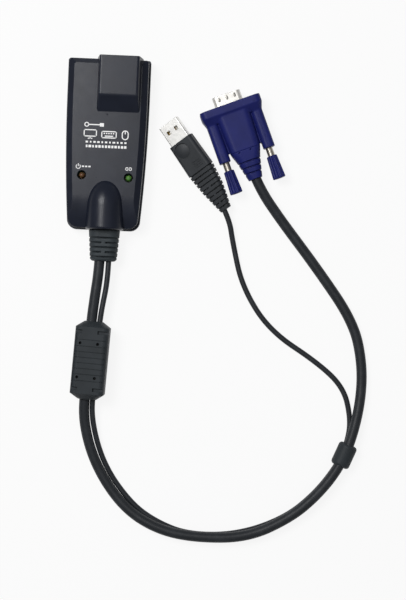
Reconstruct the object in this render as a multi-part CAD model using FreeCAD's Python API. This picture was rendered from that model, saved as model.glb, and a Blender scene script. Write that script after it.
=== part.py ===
"""Adapter cable for a keyboard, video and mouse switch.

A small plastic module takes a network lead at one end.  From its other end two cords run together
through a ferrite overmould and a split ring, and end in a video plug and a USB plug.

Frame: millimetres, +Z up.  The origin is under the middle of the module's housing, on the surface
that everything lies on.  +Y runs along the module towards its network jack.
"""
import FreeCAD, Part
import math
import os

V = FreeCAD.Vector
X_AXIS, Y_AXIS, Z_AXIS = V(1, 0, 0), V(0, 1, 0), V(0, 0, 1)
FIT = 0.05                    # radial or side clearance between rigid pieces that fit together

# ---- module housing ----
module_length = 94.0
module_width = 45.4
seam_z = 6.5                  # where the two covers meet
panel_z = 15.5                # flat top panel
side_wall = 1.6
cover_wall = 1.5
slope_wall = 1.0              # added under the slopes, where the side wall alone would be thin
floor_wall = 1.8
ledge = 0.8                   # bottom cover's rim outside the top cover
foot_inset = 1.2              # the bottom edge is drawn in by this much
foot_height = 3.0
shoulder_z = 13.2             # the side walls' top, where the slope up to the panel starts
shoulder_inset = 1.0
side_slope = 4.2              # how far the panel's edge lies inside the housing's side
front_slope = 3.7
rear_slope = 1.6
front_corner = 1.3
rear_corner = 5.5
taper_start = 27.0            # forward of here the sides are straight
side_radius = 900.0           # the sides' long curve towards the cords
panel_bend_y = -28.5          # behind here the panel curves down
panel_bend_radius = 36.0

# ---- raised cover over the network jack ----
jack_x = 6.2
hump_z = 21.0
hump_base_width = 23.4
hump_top_width = 21.4
hump_base_y = 17.1
hump_top_y = 25.5
hump_edge = 1.4
hump_brow = 2.8               # rounding between its top and its front slope

# ---- barrel that holds the strain relief ----
barrel_x = 1.0
barrel_z = 10.4
axis_z = 8.5                  # height of the cords where they leave the module
barrel_radius = 10.6
barrel_wall = 1.8
barrel_nose_y = -33.8
barrel_nose_length = 15.1
barrel_edge = 1.2
pinhole_y = 15.5
pinhole_radius = 0.3

# ---- network jack ----
jack_width = 16.0
jack_height = 12.9
jack_length = 21.3
jack_recess = 0.3             # jack's face behind the housing's end face
jack_gap = 0.15
socket_width = 11.8
socket_height = 8.0
socket_depth = 13.0
socket_floor = 1.6
latch_width = 6.2
latch_height = 2.2
contact_count = 8
contact_pitch = 1.02
contact_radius = 0.22
contact_rise = 2.4
contact_run = 9.0

# ---- circuit board and what is on it ----
board_thickness = 1.6
board_gap = 0.4
board_rear_y = -38.0
post_radius = 2.4
post_points = ((-15.4, 37.0), (15.4, 18.5), (-14.8, -33.5), (14.8, -33.5))
screw_radius = 1.3
screw_length = 10.6
screw_head_radius = 2.2
screw_head_height = 1.3
screw_sink = 1.5
pilot_depth = 6.5
led_points = (("power_led", -12.2, -17.8), ("link_led", 13.3, -18.5))
led_radius = 1.55
led_flange_radius = 1.9
led_height = 5.3
led_recess = 0.5
led_window_radius = 2.45
lead_pitch = 2.54
lead_size = 0.5
lead_below_board = 0.8
header_y = -18.0
header_depth = 6.0
header_height = 5.0
wire_plug_depth = 5.5
wire_radius = 0.5
wire_pitch = 1.5
wire_bunch_pitch = 1.08
video_wire_count = 6
data_wire_count = 4
video_header_x = -4.6
data_header_x = 6.6
video_bunch_x = -2.2
data_bunch_x = 4.7
header_wall = 0.6
header_top_gap = 0.4
header_back = 2.0
chip_thickness = 1.4
chip_stand = 0.15
chip_leg_reach = 1.0
controller_chip_place = (-8.5, 4.0, 14.0, 16)       # x, y, body size, legs on a side
video_chip_place = (-9.6, 25.0, 10.0, 12)
crystal_corner = (-2.0, -9.5)
crystal_length = 11.0
crystal_width = 4.6
crystal_height = 3.5
capacitor_radius = 2.5
capacitor_height = 5.4
capacitor_inset = 10.3        # from the housing's side
capacitor_ys = (7.5, 1.0, -5.5)

# ---- module strain relief ----
relief_width = 17.1
relief_height = 11.4
relief_end_width = 14.7
relief_end_height = 9.6
relief_length = 17.1
relief_end_round = 2.2
neck_width = 13.6
neck_height = 8.6
relief_flange_width = 15.6
relief_flange_height = 11.6
relief_flange_length = 2.6
relief_slot_depth = 1.9       # above and below; the sides are only nicked
relief_slot_nick = 0.4
relief_slot = 0.8
relief_slot_pitch = 2.6
relief_first_slot = 4.4
relief_slot_count = 5
relief_bridge = 2.0

# ---- cords: diameter and hand-laid points, from the module to the plug ----
video_cord_diameter = 5.7
video_cord_route = (
    (-0.9, -54.0, 8.5), (-0.9, -68.0, 8.5), (-3.3, -88.0, 8.5), (-4.7, -106.0, 8.5),
    (-6.0, -134.0, 8.5), (-6.5, -153.5, 5.7), (1.2, -177.5, 2.9), (17.4, -199.5, 3.5),
    (37.0, -210.5, 5.9), (59.0, -214.0, 6.3), (87.0, -212.5, 6.3), (110.0, -200.5, 6.3),
    (123.5, -188.0, 6.8), (134.0, -174.0, 7.3), (141.0, -158.0, 7.2), (146.0, -135.5, 3.9),
    (146.0, -114.0, 2.9), (140.0, -91.5, 2.9), (118.0, -62.0, 2.9), (97.5, -37.0, 3.6),
    (84.5, -19.8, 7.5), (80.0, -8.7, 7.5))
data_cord_diameter = 3.0
data_cord_route = (
    (3.9, -54.0, 8.5), (4.3, -72.5, 8.5), (0.8, -93.0, 8.5), (-0.3, -110.0, 8.5),
    (-1.5, -134.0, 8.5), (-1.95, -152.0, 5.0), (6.2, -177.0, 1.5), (21.8, -197.5, 1.5),
    (36.0, -207.0, 1.5), (54.0, -213.2, 1.5), (81.0, -212.0, 1.5), (106.5, -202.0, 1.5),
    (123.0, -187.5, 2.0), (135.0, -170.5, 2.7), (140.0, -157.0, 2.6), (141.0, -145.0, 1.5),
    (136.5, -128.5, 1.5), (122.0, -115.5, 1.5), (94.0, -98.5, 1.5), (78.0, -75.0, 1.5),
    (71.8, -51.0, 2.2), (69.1, -37.3, 5.8), (62.6, -26.6, 5.8))

# ---- ferrite overmould ----
ferrite_centre = V(-3.7, -118.7, 8.5)
ferrite_heading = -3.0
ferrite_width = 18.5
ferrite_height = 16.8
ferrite_body_length = 36.5
ferrite_corner = 3.0
ferrite_shoulder = 3.1
ferrite_end_width = 10.2
ferrite_end_height = 8.4
ferrite_end_corner = 3.4
core_radius = 7.0
core_bore_radius = 4.75
core_length = 28.0
ferrite_line_spots = (-11.2, -7.65, -4.6, -1.5, 1.5, 4.6, 7.65, 11.2)
ferrite_line_width = 0.35
ferrite_line_depth = 0.3
ferrite_line_half_length = 8.1
ferrite_line_end_gap = 3.0
ferrite_pattern_shift = -1.1
ferrite_hole_x = 4.8
ferrite_hole_y = 9.3
ferrite_hole_radius = 0.8
ferrite_hole_depth = 3.0
ferrite_slot_y = 15.6
ferrite_slot_width = 1.8
ferrite_slot_depth = 1.4
ferrite_slot_inner_x = 4.2

# ---- split ring ----
ring_centre = V(137.8, -165.3, 5.43)
ring_heading = -22.1
ring_radius = 5.25
ring_length = 13.1
ring_edge = 1.8

# ---- video plug, built with its front face on local y = 0 and +y towards the socket ----
video_plug_origin = V(66.5, 24.7, 7.5)
video_plug_heading = 22.0
hood_width = 34.6
hood_flange_depth = 4.2
hood_height = 14.6
hood_corner = 3.2
hood_body_width = 19.0
hood_body_height = 13.0
hood_body_end_width = 17.0
hood_body_end_height = 11.6
hood_body_length = 26.6
hood_body_corner = 3.6
screw_pitch = 25.0
sleeve_spread = 25.6          # between the sleeves' middles
sleeve_width = 6.4
sleeve_height = 8.6
sleeve_end = 29.6
sleeve_corner = 2.4
shoulder_end = 8.2
shoulder_width = 32.0
shoulder_height = 8.6
web_height = 4.0
face_plate_width = 30.8
face_plate_height = 12.4
face_plate_thickness = 0.8
d_width = 16.9
d_height = 8.36
d_length = 5.9
d_wall = 0.4
d_corner = 2.4
d_slant = 10.0
dimple_spots = (-4.6, -0.2, 4.2)
dimple_y = 3.9
dimple_radius = 1.1
dimple_depth = 0.22
pin_radius = 0.4
pin_length = 5.0
pin_pitch = 2.29
pin_row_pitch = 1.98
pin_tail = 3.0
inner_mould_width = 16.0
inner_mould_height = 9.0
inner_mould_length = 22.0
tail_sections = ((0.0, hood_body_end_width, hood_body_end_height, hood_body_corner),
                 (5.4, 13.4, 10.4, 4.4), (16.7, 7.8, 7.8, 3.6))
tail_slot_spots = (6.6, 9.9, 13.1)
tail_slot = 0.9
tail_slot_depth = 1.2         # above and below
tail_slot_nick = 0.35         # at the sides
tail_hole_spots = (-4.0, 2.5)
tail_hole_y = 0.9
tail_hole_radius = 0.4
tail_hole_depth = 1.0
jackscrew_radius = 1.95
jackscrew_front = 2.5
jackscrew_neck_radius = 1.42
jackscrew_neck_end = 10.0
knob_front_radius = 3.0
knob_rear_radius = 3.7
knob_start = 34.3
knob_length = 13.0
knob_grip_depth = 8.0
knob_flutes = 8
knob_flute_radius = 1.0
knob_flute_depth = 0.55
knob_edge = 0.5
knob_slot = 1.0

# ---- USB plug, built the same way ----
usb_plug_origin = V(40.9, 3.9, 5.85)
usb_plug_heading = 37.0
usb_plug_roll = -20.0
usb_width = 14.2              # at the mouth
usb_height = 7.6
usb_corner = 1.9
usb_body_length = 19.0
usb_tail_sections = ((0.0, 15.0, 7.6, 1.9, 0.0), (12.0, 12.6, 7.0, 2.4, -0.3),
                     (20.0, 9.4, 6.2, 2.8, -0.7), (26.0, 6.4, 5.2, 2.3, -1.1))
usb_groove = 0.8
usb_groove_pitch = 2.55
usb_first_groove = 0.8        # behind the body, as the tail's sections are
usb_groove_count = 10
usb_groove_depth = 1.1        # above and below
usb_groove_nick = 0.4         # at the sides
usb_bridge = 1.3
usb_full_grooves = 4
usb_pad_x = -1.6
usb_pad_y = 5.4
usb_pad_radius = 4.4
usb_pad_depth = 0.7
usb_pad_dome_radius = 14.0
usb_shell_width = 12.0
usb_shell_height = 4.5
usb_shell_wall = 0.3
usb_shell_length = 12.2
usb_shell_seat = 6.0
usb_latch_x = 2.55
usb_latch_y = 7.2
usb_latch_size = 2.1
usb_tongue_thickness = 1.85
usb_tongue_recess = 0.6
usb_contact_spots = (-3.5, -1.0, 1.0, 3.5)
usb_contact_width = 1.0
usb_contact_thickness = 0.25
usb_contact_length = 7.0
usb_block_length = 8.0
usb_block_width = 10.6
usb_block_height = 5.0


# ---------------------------------------------------------------- helpers
def box(x0, x1, y0, y1, z0, z1):
    """A block between two corners."""
    return Part.makeBox(x1 - x0, y1 - y0, z1 - z0, V(x0, y0, z0))


def rod(radius, start, end):
    """A round bar between two points."""
    line = end - start
    return Part.makeCylinder(radius, line.Length, start, line)


def rounded_wire(width, height, corner, y, x=0.0, z=0.0):
    """A rounded rectangle that faces along Y, centred on (x, z)."""
    hw, hh = width / 2, height / 2
    r = min(corner, hw * 0.98, hh * 0.98)
    d = r * (1 - math.sqrt(0.5))

    def p(px, pz):
        return V(x + px, y, z + pz)

    edges = [Part.makeLine(p(-hw + r, -hh), p(hw - r, -hh)),
             Part.Arc(p(hw - r, -hh), p(hw - d, -hh + d), p(hw, -hh + r)).toShape(),
             Part.makeLine(p(hw, -hh + r), p(hw, hh - r)),
             Part.Arc(p(hw, hh - r), p(hw - d, hh - d), p(hw - r, hh)).toShape(),
             Part.makeLine(p(hw - r, hh), p(-hw + r, hh)),
             Part.Arc(p(-hw + r, hh), p(-hw + d, hh - d), p(-hw, hh - r)).toShape(),
             Part.makeLine(p(-hw, hh - r), p(-hw, -hh + r)),
             Part.Arc(p(-hw, -hh + r), p(-hw + d, -hh + d), p(-hw + r, -hh)).toShape()]
    return Part.Wire(edges)


def rounded_bar(width, height, corner, y0, y1, x=0.0, z=0.0):
    """A rounded rectangle drawn out along Y."""
    face = Part.Face(rounded_wire(width, height, corner, y0, x, z))
    return face.extrude(V(0, y1 - y0, 0))


def section_at(sections, reach):
    """The sizes of a tapering body at one reach, worked out between its given sections."""
    near, far = sections[0], sections[1]
    for near, far in zip(sections, sections[1:]):
        if reach <= far[0]:
            break
    share = (reach - near[0]) / (far[0] - near[0])
    return [a + share * (b - a) for a, b in zip(near[1:], far[1:])]


def slot_around(y, slot, width, height, x=0.0, z=0.0):
    """A slot all round a body, down to a rounded core of that width and height."""
    reach = 2 * width
    slab = box(x - reach, x + reach, y - slot / 2, y + slot / 2, z - reach, z + reach)
    return slab.cut(rounded_bar(width, height, height / 2, y - slot, y + slot, x, z))


def loft(wires, ruled=True):
    """A solid through closed outlines."""
    return Part.makeLoft(wires, True, ruled)


def fuse_all(shapes):
    """One solid from overlapping ones."""
    return shapes[0].multiFuse(shapes[1:]).removeSplitter()


def cut_all(shape, tools):
    """The shape without the tools."""
    return shape.cut(tools[0].multiFuse(tools[1:]) if len(tools) > 1 else tools[0])


def placed(shape, origin, heading, roll=0.0):
    """A shape from a plug's own frame, rolled about its axis, turned and moved into place."""
    turn = FreeCAD.Placement(origin, FreeCAD.Rotation(Z_AXIS, heading))
    tilt = FreeCAD.Placement(V(), FreeCAD.Rotation(Y_AXIS, roll))
    return shape.transformed((turn * tilt).toMatrix(), True)


def edges_along(shape, test):
    """Edges whose middle passes a test."""
    return [e for e in shape.Edges if test(e.valueAt((e.FirstParameter + e.LastParameter) / 2), e)]


# ---------------------------------------------------------------- cords
def cord(route, diameter, name):
    """A round cord on straight runs joined by tangent arcs."""
    points = [V(*p) for p in route]
    edges = []
    start = points[0]
    radii = []
    for before, corner, after in zip(points, points[1:], points[2:]):
        run_in, run_out = corner - before, after - corner
        turn = run_in.getAngle(run_out)
        reach = 0.45 * min(run_in.Length, run_out.Length)
        radii.append(reach / math.tan(turn / 2))
        run_in.normalize()
        run_out.normalize()
        a, b = corner - run_in * reach, corner + run_out * reach
        centre_line = (run_out - run_in).normalize()
        radius = radii[-1]
        centre = corner + centre_line * (radius / math.cos(turn / 2))
        edges.append(Part.LineSegment(start, a).toShape())
        edges.append(Part.Arc(a, centre - centre_line * radius, b).toShape())
        start = b
    edges.append(Part.LineSegment(start, points[-1]).toShape())
    path = Part.Wire(edges)
    section = Part.Wire(Part.makeCircle(diameter / 2, points[0], points[1] - points[0]))
    tube = path.makePipeShell([section], True, False)
    expected = math.pi * diameter ** 2 / 4 * path.Length
    print(f"{name}: length {path.Length:.1f}, volume {tube.Volume:.1f}, section x length {expected:.1f}")
    print(f"{name}: radii", ", ".join(f"{r:.0f}" for r in radii))
    return tube


# ---------------------------------------------------------------- housing
def housing_outline(z, inset, front, rear):
    """The housing's plan outline at one height, drawn in from its widest."""
    half = module_width / 2 - inset
    y_front, y_rear = module_length / 2 - front, rear - module_length / 2
    side_centre_x = module_width / 2 - side_radius
    side_r = side_radius - inset
    rf, rr = front_corner, rear_corner
    corner_y = y_rear + rr
    corner_x = side_centre_x + math.sqrt((side_r - rr) ** 2 - (corner_y - taper_start) ** 2)
    out = V(corner_x - side_centre_x, corner_y - taper_start, 0).normalize()
    tangent = V(corner_x, corner_y, z) + out * rr
    diagonal = (out + V(0, -1, 0)).normalize()
    corner_mid = V(corner_x, corner_y, z) + diagonal * rr
    side_angle = math.atan2(taper_start - tangent.y, tangent.x - side_centre_x) / 2
    side_mid = V(side_centre_x + side_r * math.cos(side_angle),
                 taper_start - side_r * math.sin(side_angle), z)
    bow = rf * (1 - math.sqrt(0.5))

    def both(sign):
        def at(p):
            return V(sign * p.x, p.y, z)
        return [Part.Arc(at(V(half - rf, y_front, 0)), at(V(half - bow, y_front - bow, 0)),
                         at(V(half, y_front - rf, 0))).toShape(),
                Part.makeLine(at(V(half, y_front - rf, 0)), at(V(half, taper_start, 0))),
                Part.Arc(at(V(half, taper_start, 0)), at(side_mid), at(tangent)).toShape(),
                Part.Arc(at(tangent), at(corner_mid), at(V(corner_x, y_rear, 0))).toShape()]

    front_edge = Part.makeLine(V(rf - half, y_front, z), V(half - rf, y_front, z))
    rear_edge = Part.makeLine(V(corner_x, y_rear, z), V(-corner_x, y_rear, z))
    return Part.Wire(Part.__sortEdges__([front_edge] + both(1) + [rear_edge] + both(-1)))


def under_panel(drop):
    """Everything below the panel's surface, or below a surface that lies drop under it."""
    top = panel_z - drop
    radius = panel_bend_radius - drop
    far_y = -module_length / 2 - 1.0
    reach = panel_bend_y - far_y
    angle = math.asin(reach / radius)
    centre_z = top - radius

    def p(y, z):
        return V(-module_width, y, z)

    edge = module_length / 2 + 1.0
    bend_mid = p(panel_bend_y - radius * math.sin(angle / 2), centre_z + radius * math.cos(angle / 2))
    bend_end = p(far_y, centre_z + radius * math.cos(angle))
    wire = Part.Wire([Part.makeLine(p(edge, 0), p(edge, top)),
                      Part.makeLine(p(edge, top), p(panel_bend_y, top)),
                      Part.Arc(p(panel_bend_y, top), bend_mid, bend_end).toShape(),
                      Part.makeLine(bend_end, p(far_y, 0)),
                      Part.makeLine(p(far_y, 0), p(edge, 0))])
    return Part.Face(wire).extrude(V(2 * module_width, 0, 0))


def hump(shrink):
    """The raised cover over the jack, or its inside when shrunk by a wall."""
    rise = hump_z - panel_z
    deep = panel_z - seam_z
    spread = (hump_base_width - hump_top_width) / 2 / rise
    lean = (hump_top_y - hump_base_y) / rise
    front = module_length / 2

    def outline(z):
        half = hump_top_width / 2 + (hump_z - z) * spread - shrink
        y_back = hump_top_y - (hump_z - z) * lean + shrink
        points = [V(jack_x - half, y_back, z), V(jack_x + half, y_back, z),
                  V(jack_x + half, front, z), V(jack_x - half, front, z)]
        return Part.makePolygon(points + points[:1])

    solid = loft([outline(panel_z - deep / 2), outline(hump_z - shrink)])
    if shrink == 0:
        brow = edges_along(solid, lambda m, e: abs(m.y - hump_top_y) < 0.01 and m.z > hump_z - 0.01)
        solid = solid.makeFillet(hump_brow, brow)
        clear_x = hump_top_width / 2 - 0.5
        sides = edges_along(solid, lambda m, e: abs(m.x - jack_x) > clear_x and m.y < front - 0.01
                            and m.z > panel_z - deep / 2 + 0.01)
        solid = solid.makeFillet(hump_edge, sides)
    return solid


def barrel(shrink):
    """The round barrel with its blunt nose, or its inside when shrunk by a wall."""
    radius, nose = barrel_radius - shrink, barrel_nose_length - shrink
    centre = V(barrel_x, barrel_nose_y, barrel_z)
    tip = centre + Y_AXIS * nose
    rim = centre + Z_AXIS * radius
    end_y = -module_length / 2 + (shrink if shrink else 0)
    curve = Part.ArcOfEllipse(Part.Ellipse(tip, rim, centre), 0, math.pi / 2).toShape()
    top, bottom = V(barrel_x, end_y, barrel_z + radius), V(barrel_x, end_y, barrel_z)
    wire = Part.Wire(Part.__sortEdges__([curve, Part.makeLine(rim, top), Part.makeLine(top, bottom),
                                         Part.makeLine(bottom, tip)]))
    solid = Part.Face(wire).revolve(centre, Y_AXIS, 360)
    if shrink == 0:
        end_ring = edges_along(solid, lambda m, e: abs(m.y - end_y) < 0.01 and e.Length > radius * 2)
        solid = solid.makeFillet(barrel_edge, end_ring)
    return solid


def relief_passage():
    """The oval hole through the housing's end that the strain relief's neck fills."""
    end = -module_length / 2
    return rounded_bar(neck_width + 2 * FIT, neck_height + 2 * FIT, neck_height / 2, end - 1,
                       end + 2 * barrel_wall + relief_flange_length, barrel_x, axis_z)


def relief_groove():
    """The seat for the strain relief's inner flange."""
    y0 = -module_length / 2 + barrel_wall
    return rounded_bar(relief_flange_width + 2 * FIT, relief_flange_height + 2 * FIT,
                       relief_flange_height / 2, y0, y0 + relief_flange_length + FIT, barrel_x, axis_z)


def jack_window():
    """The opening in the housing's end for the jack."""
    half = jack_width / 2 + jack_gap
    return box(jack_x - half, jack_x + half, module_length / 2 - front_slope - side_wall - 3,
               module_length / 2 + 1, seam_z - 0.001, seam_z + jack_height + jack_gap)


def upper_form(wall, drop, sink):
    """The top cover's outside without its raised parts, or its inside.

    The inside is drawn in by wall, lies drop under the panel and sink under the slopes.
    """
    low, middle = ledge + wall, shoulder_inset + wall
    return loft([housing_outline(seam_z, low, low, low),
                 housing_outline(shoulder_z - sink, middle, middle, middle),
                 housing_outline(panel_z - sink, side_slope + wall, front_slope + wall,
                                 rear_slope + wall)]).common(under_panel(drop))


def top_cover():
    """Upper shell: panel, jack cover, barrel, screw bosses and the windows."""
    outer = upper_form(0, 0, 0)
    shell = outer.fuse(hump(0))
    upper_half = box(-module_width, module_width, -module_length, module_length, seam_z, 2 * hump_z)
    shell = fuse_all([shell, barrel(0).common(upper_half)])
    wall = ledge + side_wall
    room = upper_form(side_wall, cover_wall, slope_wall)
    behind_end_wall = box(-module_width, module_width, -module_length, module_length / 2 - wall,
                          0, 2 * hump_z)
    shell = cut_all(shell, [room, hump(cover_wall).common(behind_end_wall),
                            barrel(barrel_wall).common(upper_half), jack_window()])
    inside = outer.fuse(hump(0))
    bosses = []
    for x, y in post_points:
        boss = rod(post_radius, V(x, y, seam_z + FIT), V(x, y, panel_z - 0.5)).common(inside)
        bosses.append(boss.common(under_panel(0.2)))
    half = barrel_radius - 0.5
    relief_wall = box(barrel_x - half, barrel_x + half, -module_length / 2 + 0.3,
                      -module_length / 2 + 2 * barrel_wall + relief_flange_length, seam_z, barrel_z + 8)
    shell = fuse_all([shell, relief_wall.common(barrel(0.4))] + bosses)
    cuts = [relief_passage(), relief_groove()]
    for x, y in post_points:
        cuts.append(rod(screw_radius, V(x, y, seam_z - 1), V(x, y, seam_z + pilot_depth)))
    for _, x, y in led_points:
        cuts.append(rod(led_window_radius, V(x, y, panel_z - 4), V(x, y, panel_z + 4)))
    cuts.append(rod(pinhole_radius, V(0.5, pinhole_y, panel_z - 0.6), V(0.5, pinhole_y, panel_z + 1)))
    return cut_all(shell, cuts)


def bottom_cover():
    """Lower shell: floor, rim, board posts and the lower half of the strain relief's seat."""
    foot = loft([housing_outline(0, foot_inset, foot_inset, foot_inset),
                 housing_outline(foot_height, 0, 0, 0)])
    rim = Part.Face(housing_outline(foot_height, 0, 0, 0)).extrude(V(0, 0, seam_z - foot_height))
    wall = ledge + side_wall
    room = Part.Face(housing_outline(floor_wall, wall, wall, wall)).extrude(V(0, 0, seam_z))
    shell = foot.fuse(rim).cut(room)
    seat = box(barrel_x - barrel_radius, barrel_x + barrel_radius, -module_length / 2 + 0.5,
               -module_length / 2 + 2 * barrel_wall + relief_flange_length, floor_wall / 2, seam_z)
    posts = [rod(post_radius, V(x, y, floor_wall / 2), V(x, y, seam_z - board_thickness))
             for x, y in post_points]
    shell = fuse_all([shell, seat] + posts)
    cuts = [relief_passage(), relief_groove()]
    for x, y in post_points:
        cuts.append(rod(screw_radius + 0.2, V(x, y, -1), V(x, y, seam_z)))
        cuts.append(rod(screw_head_radius + 0.3, V(x, y, -1), V(x, y, screw_sink)))
    return cut_all(shell, cuts)


def housing_screws():
    """Four screws from below, through the board and into the top cover's bosses."""
    screws = []
    for x, y in post_points:
        head = rod(screw_head_radius, V(x, y, screw_sink - screw_head_height), V(x, y, screw_sink))
        shank = rod(screw_radius - FIT / 2, V(x, y, screw_sink), V(x, y, screw_sink + screw_length))
        z = screw_sink - screw_head_height
        arm, thin = 1.2, 0.25
        cross = [box(x - arm, x + arm, y - thin, y + thin, z, z + 0.7),
                 box(x - thin, x + thin, y - arm, y + arm, z, z + 0.7)]
        screws.append(cut_all(head.fuse(shank).removeSplitter(), cross))
    return Part.makeCompound(screws)


# ---------------------------------------------------------------- inside the module
def spaced(centre, count, pitch):
    """Evenly spaced x positions about a centre."""
    return [centre + (i - (count - 1) / 2) * pitch for i in range(count)]


def circuit_board():
    """The board, with its screw and lead holes."""
    inset = ledge + side_wall + board_gap
    z0 = seam_z - board_thickness
    board = Part.Face(housing_outline(z0, inset, inset, inset)).extrude(V(0, 0, board_thickness))
    board = board.cut(box(-module_width, module_width, -module_length, board_rear_y, 0, 20))
    cuts = [rod(screw_radius + 0.2, V(x, y, z0 - 1), V(x, y, seam_z + 1)) for x, y in post_points]
    for _, x, y in led_points:
        for side in (-1, 1):
            cuts.append(rod(lead_size * 0.75, V(x + side * lead_pitch / 2, y, z0 - 1),
                            V(x + side * lead_pitch / 2, y, seam_z + 1)))
    return cut_all(board, cuts)


def jack_front():
    """The y position of the jack's face."""
    return module_length / 2 - jack_recess


def socket_room():
    """The space in the jack for the network plug and its latch."""
    front = jack_front()
    z0 = seam_z + socket_floor
    body = box(jack_x - socket_width / 2, jack_x + socket_width / 2, front - socket_depth, front + 1,
               z0, z0 + socket_height)
    latch = box(jack_x - latch_width / 2, jack_x + latch_width / 2, front - socket_depth, front + 1,
                z0 + socket_height - 0.1, z0 + socket_height + latch_height)
    return body.fuse(latch).removeSplitter()


def network_jack():
    """The jack's plastic body."""
    front = jack_front()
    body = box(jack_x - jack_width / 2, jack_x + jack_width / 2, front - jack_length, front,
               seam_z, seam_z + jack_height)
    return body.cut(socket_room())


def jack_contacts():
    """Eight spring contacts that slope up from the socket's floor to its back wall."""
    back = jack_front() - socket_depth
    z0 = seam_z + socket_floor
    slope = contact_rise / contact_run
    wires = []
    for x in spaced(jack_x, contact_count, contact_pitch):
        start = V(x, back + contact_run + 2, z0 - 2 * slope)
        end = V(x, back - 1, z0 + contact_rise + slope)
        wires.append(rod(contact_radius, start, end).common(socket_room()))
    return Part.makeCompound([w.Solids[0] for w in wires])


def led(x, y):
    """A round lamp: flange, body and dome."""
    base = panel_z - led_recess - led_height
    dome_base = base + led_height - led_radius
    body = rod(led_radius, V(x, y, base), V(x, y, dome_base))
    dome = Part.makeSphere(led_radius, V(x, y, dome_base))
    flange = rod(led_flange_radius, V(x, y, base), V(x, y, base + 1.0))
    return fuse_all([body, dome, flange])


def led_leads():
    """The two square legs of each lamp."""
    base = panel_z - led_recess - led_height
    half = lead_size / 2
    legs = []
    for _, x, y in led_points:
        for side in (-1, 1):
            cx = x + side * lead_pitch / 2
            legs.append(box(cx - half, cx + half, y - half, y + half,
                            seam_z - board_thickness - lead_below_board, base))
    return Part.makeCompound(legs)


def chip(x, y, size, legs):
    """A flat square chip with legs on all four sides, as one piece."""
    body = box(x - size / 2, x + size / 2, y - size / 2, y + size / 2, seam_z + chip_stand,
               seam_z + chip_stand + chip_thickness)
    pitch = (size - 2) / (legs - 1)
    parts = [body]
    for i in range(legs):
        offset = -size / 2 + 1 + i * pitch
        w, out, top = pitch / 4, size / 2 + chip_leg_reach, seam_z + 2 * chip_stand
        parts.append(box(x + offset - w, x + offset + w, y - out, y + out, seam_z, top))
        parts.append(box(x - out, x + out, y + offset - w, y + offset + w, seam_z, top))
    return fuse_all(parts)


def crystal():
    """A low metal-can crystal."""
    slab = Part.makeBox(crystal_length, crystal_width, crystal_height, V(*crystal_corner, seam_z))
    upright = edges_along(slab, lambda m, e: abs(m.z - seam_z - crystal_height / 2) < FIT)
    return slab.makeFillet(crystal_width / 3, upright)


def capacitors():
    """Three round capacitors."""
    x = module_width / 2 - capacitor_inset
    return Part.makeCompound([rod(capacitor_radius, V(x, y, seam_z), V(x, y, seam_z + capacitor_height))
                              for y in capacitor_ys])


def header_width(count):
    """The width of a header for that many wires."""
    return (count - 1) * wire_pitch + 2 * wire_radius + 2 * (header_wall + wire_radius) + 0.3


def wire_plug_bar(x, count, rear_y):
    """The space a wire plug fills in its header, from rear_y forwards."""
    half = header_width(count) / 2 - header_wall
    return box(x - half, x + half, rear_y, header_y - header_back,
               seam_z + header_wall, seam_z + header_height - header_top_gap)


def header(x, count):
    """A low connector on the board, open to the rear for its plug."""
    width = header_width(count)
    body = box(x - width / 2, x + width / 2, header_y - header_depth, header_y,
               seam_z, seam_z + header_height)
    return body.cut(wire_plug_bar(x, count, header_y - header_depth))


def wire_plug(x, count):
    """The plug on the inner wires, seated in its header."""
    return wire_plug_bar(x, count, header_y - header_back - wire_plug_depth)


def inner_wires(x, count, bunch_x):
    """Insulated wires that fan out from the strain relief to their plug."""
    y0 = -module_length / 2 + barrel_wall + relief_flange_length
    y1 = header_y - header_back - wire_plug_depth
    slab = box(-module_width, module_width, y0, y1, 0, 30)
    wires = []
    for xa, xb in zip(spaced(bunch_x, count, wire_bunch_pitch), spaced(x, count, wire_pitch)):
        a, b = V(xa, y0, axis_z), V(xb, y1, axis_z)
        line = (b - a).normalize()
        wires.append(rod(wire_radius, a - line, b + line).common(slab))
    return Part.makeCompound([w.Solids[0] for w in wires])


# ---------------------------------------------------------------- strain relief of the module
def strain_relief(cords):
    """The grey moulded relief, with its neck, inner flange and slots."""
    end = -module_length / 2
    body_y = end - 0.1
    tip_y = body_y - relief_length
    sections = ((0.0, relief_width, relief_height), (relief_length, relief_end_width, relief_end_height))
    body = loft([rounded_wire(w, h, h / 2 - 0.2, body_y - y, barrel_x, axis_z) for y, w, h in sections])
    body = body.makeFillet(relief_end_round, edges_along(body, lambda m, e: abs(m.y - tip_y) < 0.01))
    cuts = []
    for i in range(relief_slot_count):
        reach = relief_first_slot + i * relief_slot_pitch
        width, height = section_at(sections, reach)
        slot = slot_around(body_y - reach, relief_slot, width - 2 * relief_slot_nick,
                           height - 2 * relief_slot_depth, barrel_x, axis_z)
        if i % 2:
            half = relief_bridge / 2
            slot = slot.cut(box(barrel_x - half, barrel_x + half, tip_y, body_y, 0, 3 * axis_z))
        cuts.append(slot)
    body = cut_all(body, cuts)
    seat_y = end + barrel_wall
    neck = rounded_bar(neck_width, neck_height, neck_height / 2 - 0.1, body_y - 1, seat_y + 1,
                       barrel_x, axis_z)
    flange = rounded_bar(relief_flange_width, relief_flange_height, relief_flange_height / 2 - 0.1,
                         seat_y + FIT, seat_y + relief_flange_length, barrel_x, axis_z)
    return fuse_all([body, neck, flange]).cut(cords)


# ---------------------------------------------------------------- ferrite and ring
def ferrite_core():
    """The ferrite tube, in its own frame."""
    half = core_length / 2
    return rod(core_radius, V(0, -half, 0), V(0, half, 0)).cut(
        rod(core_bore_radius, V(0, -half - 1, 0), V(0, half + 1, 0)))


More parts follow.
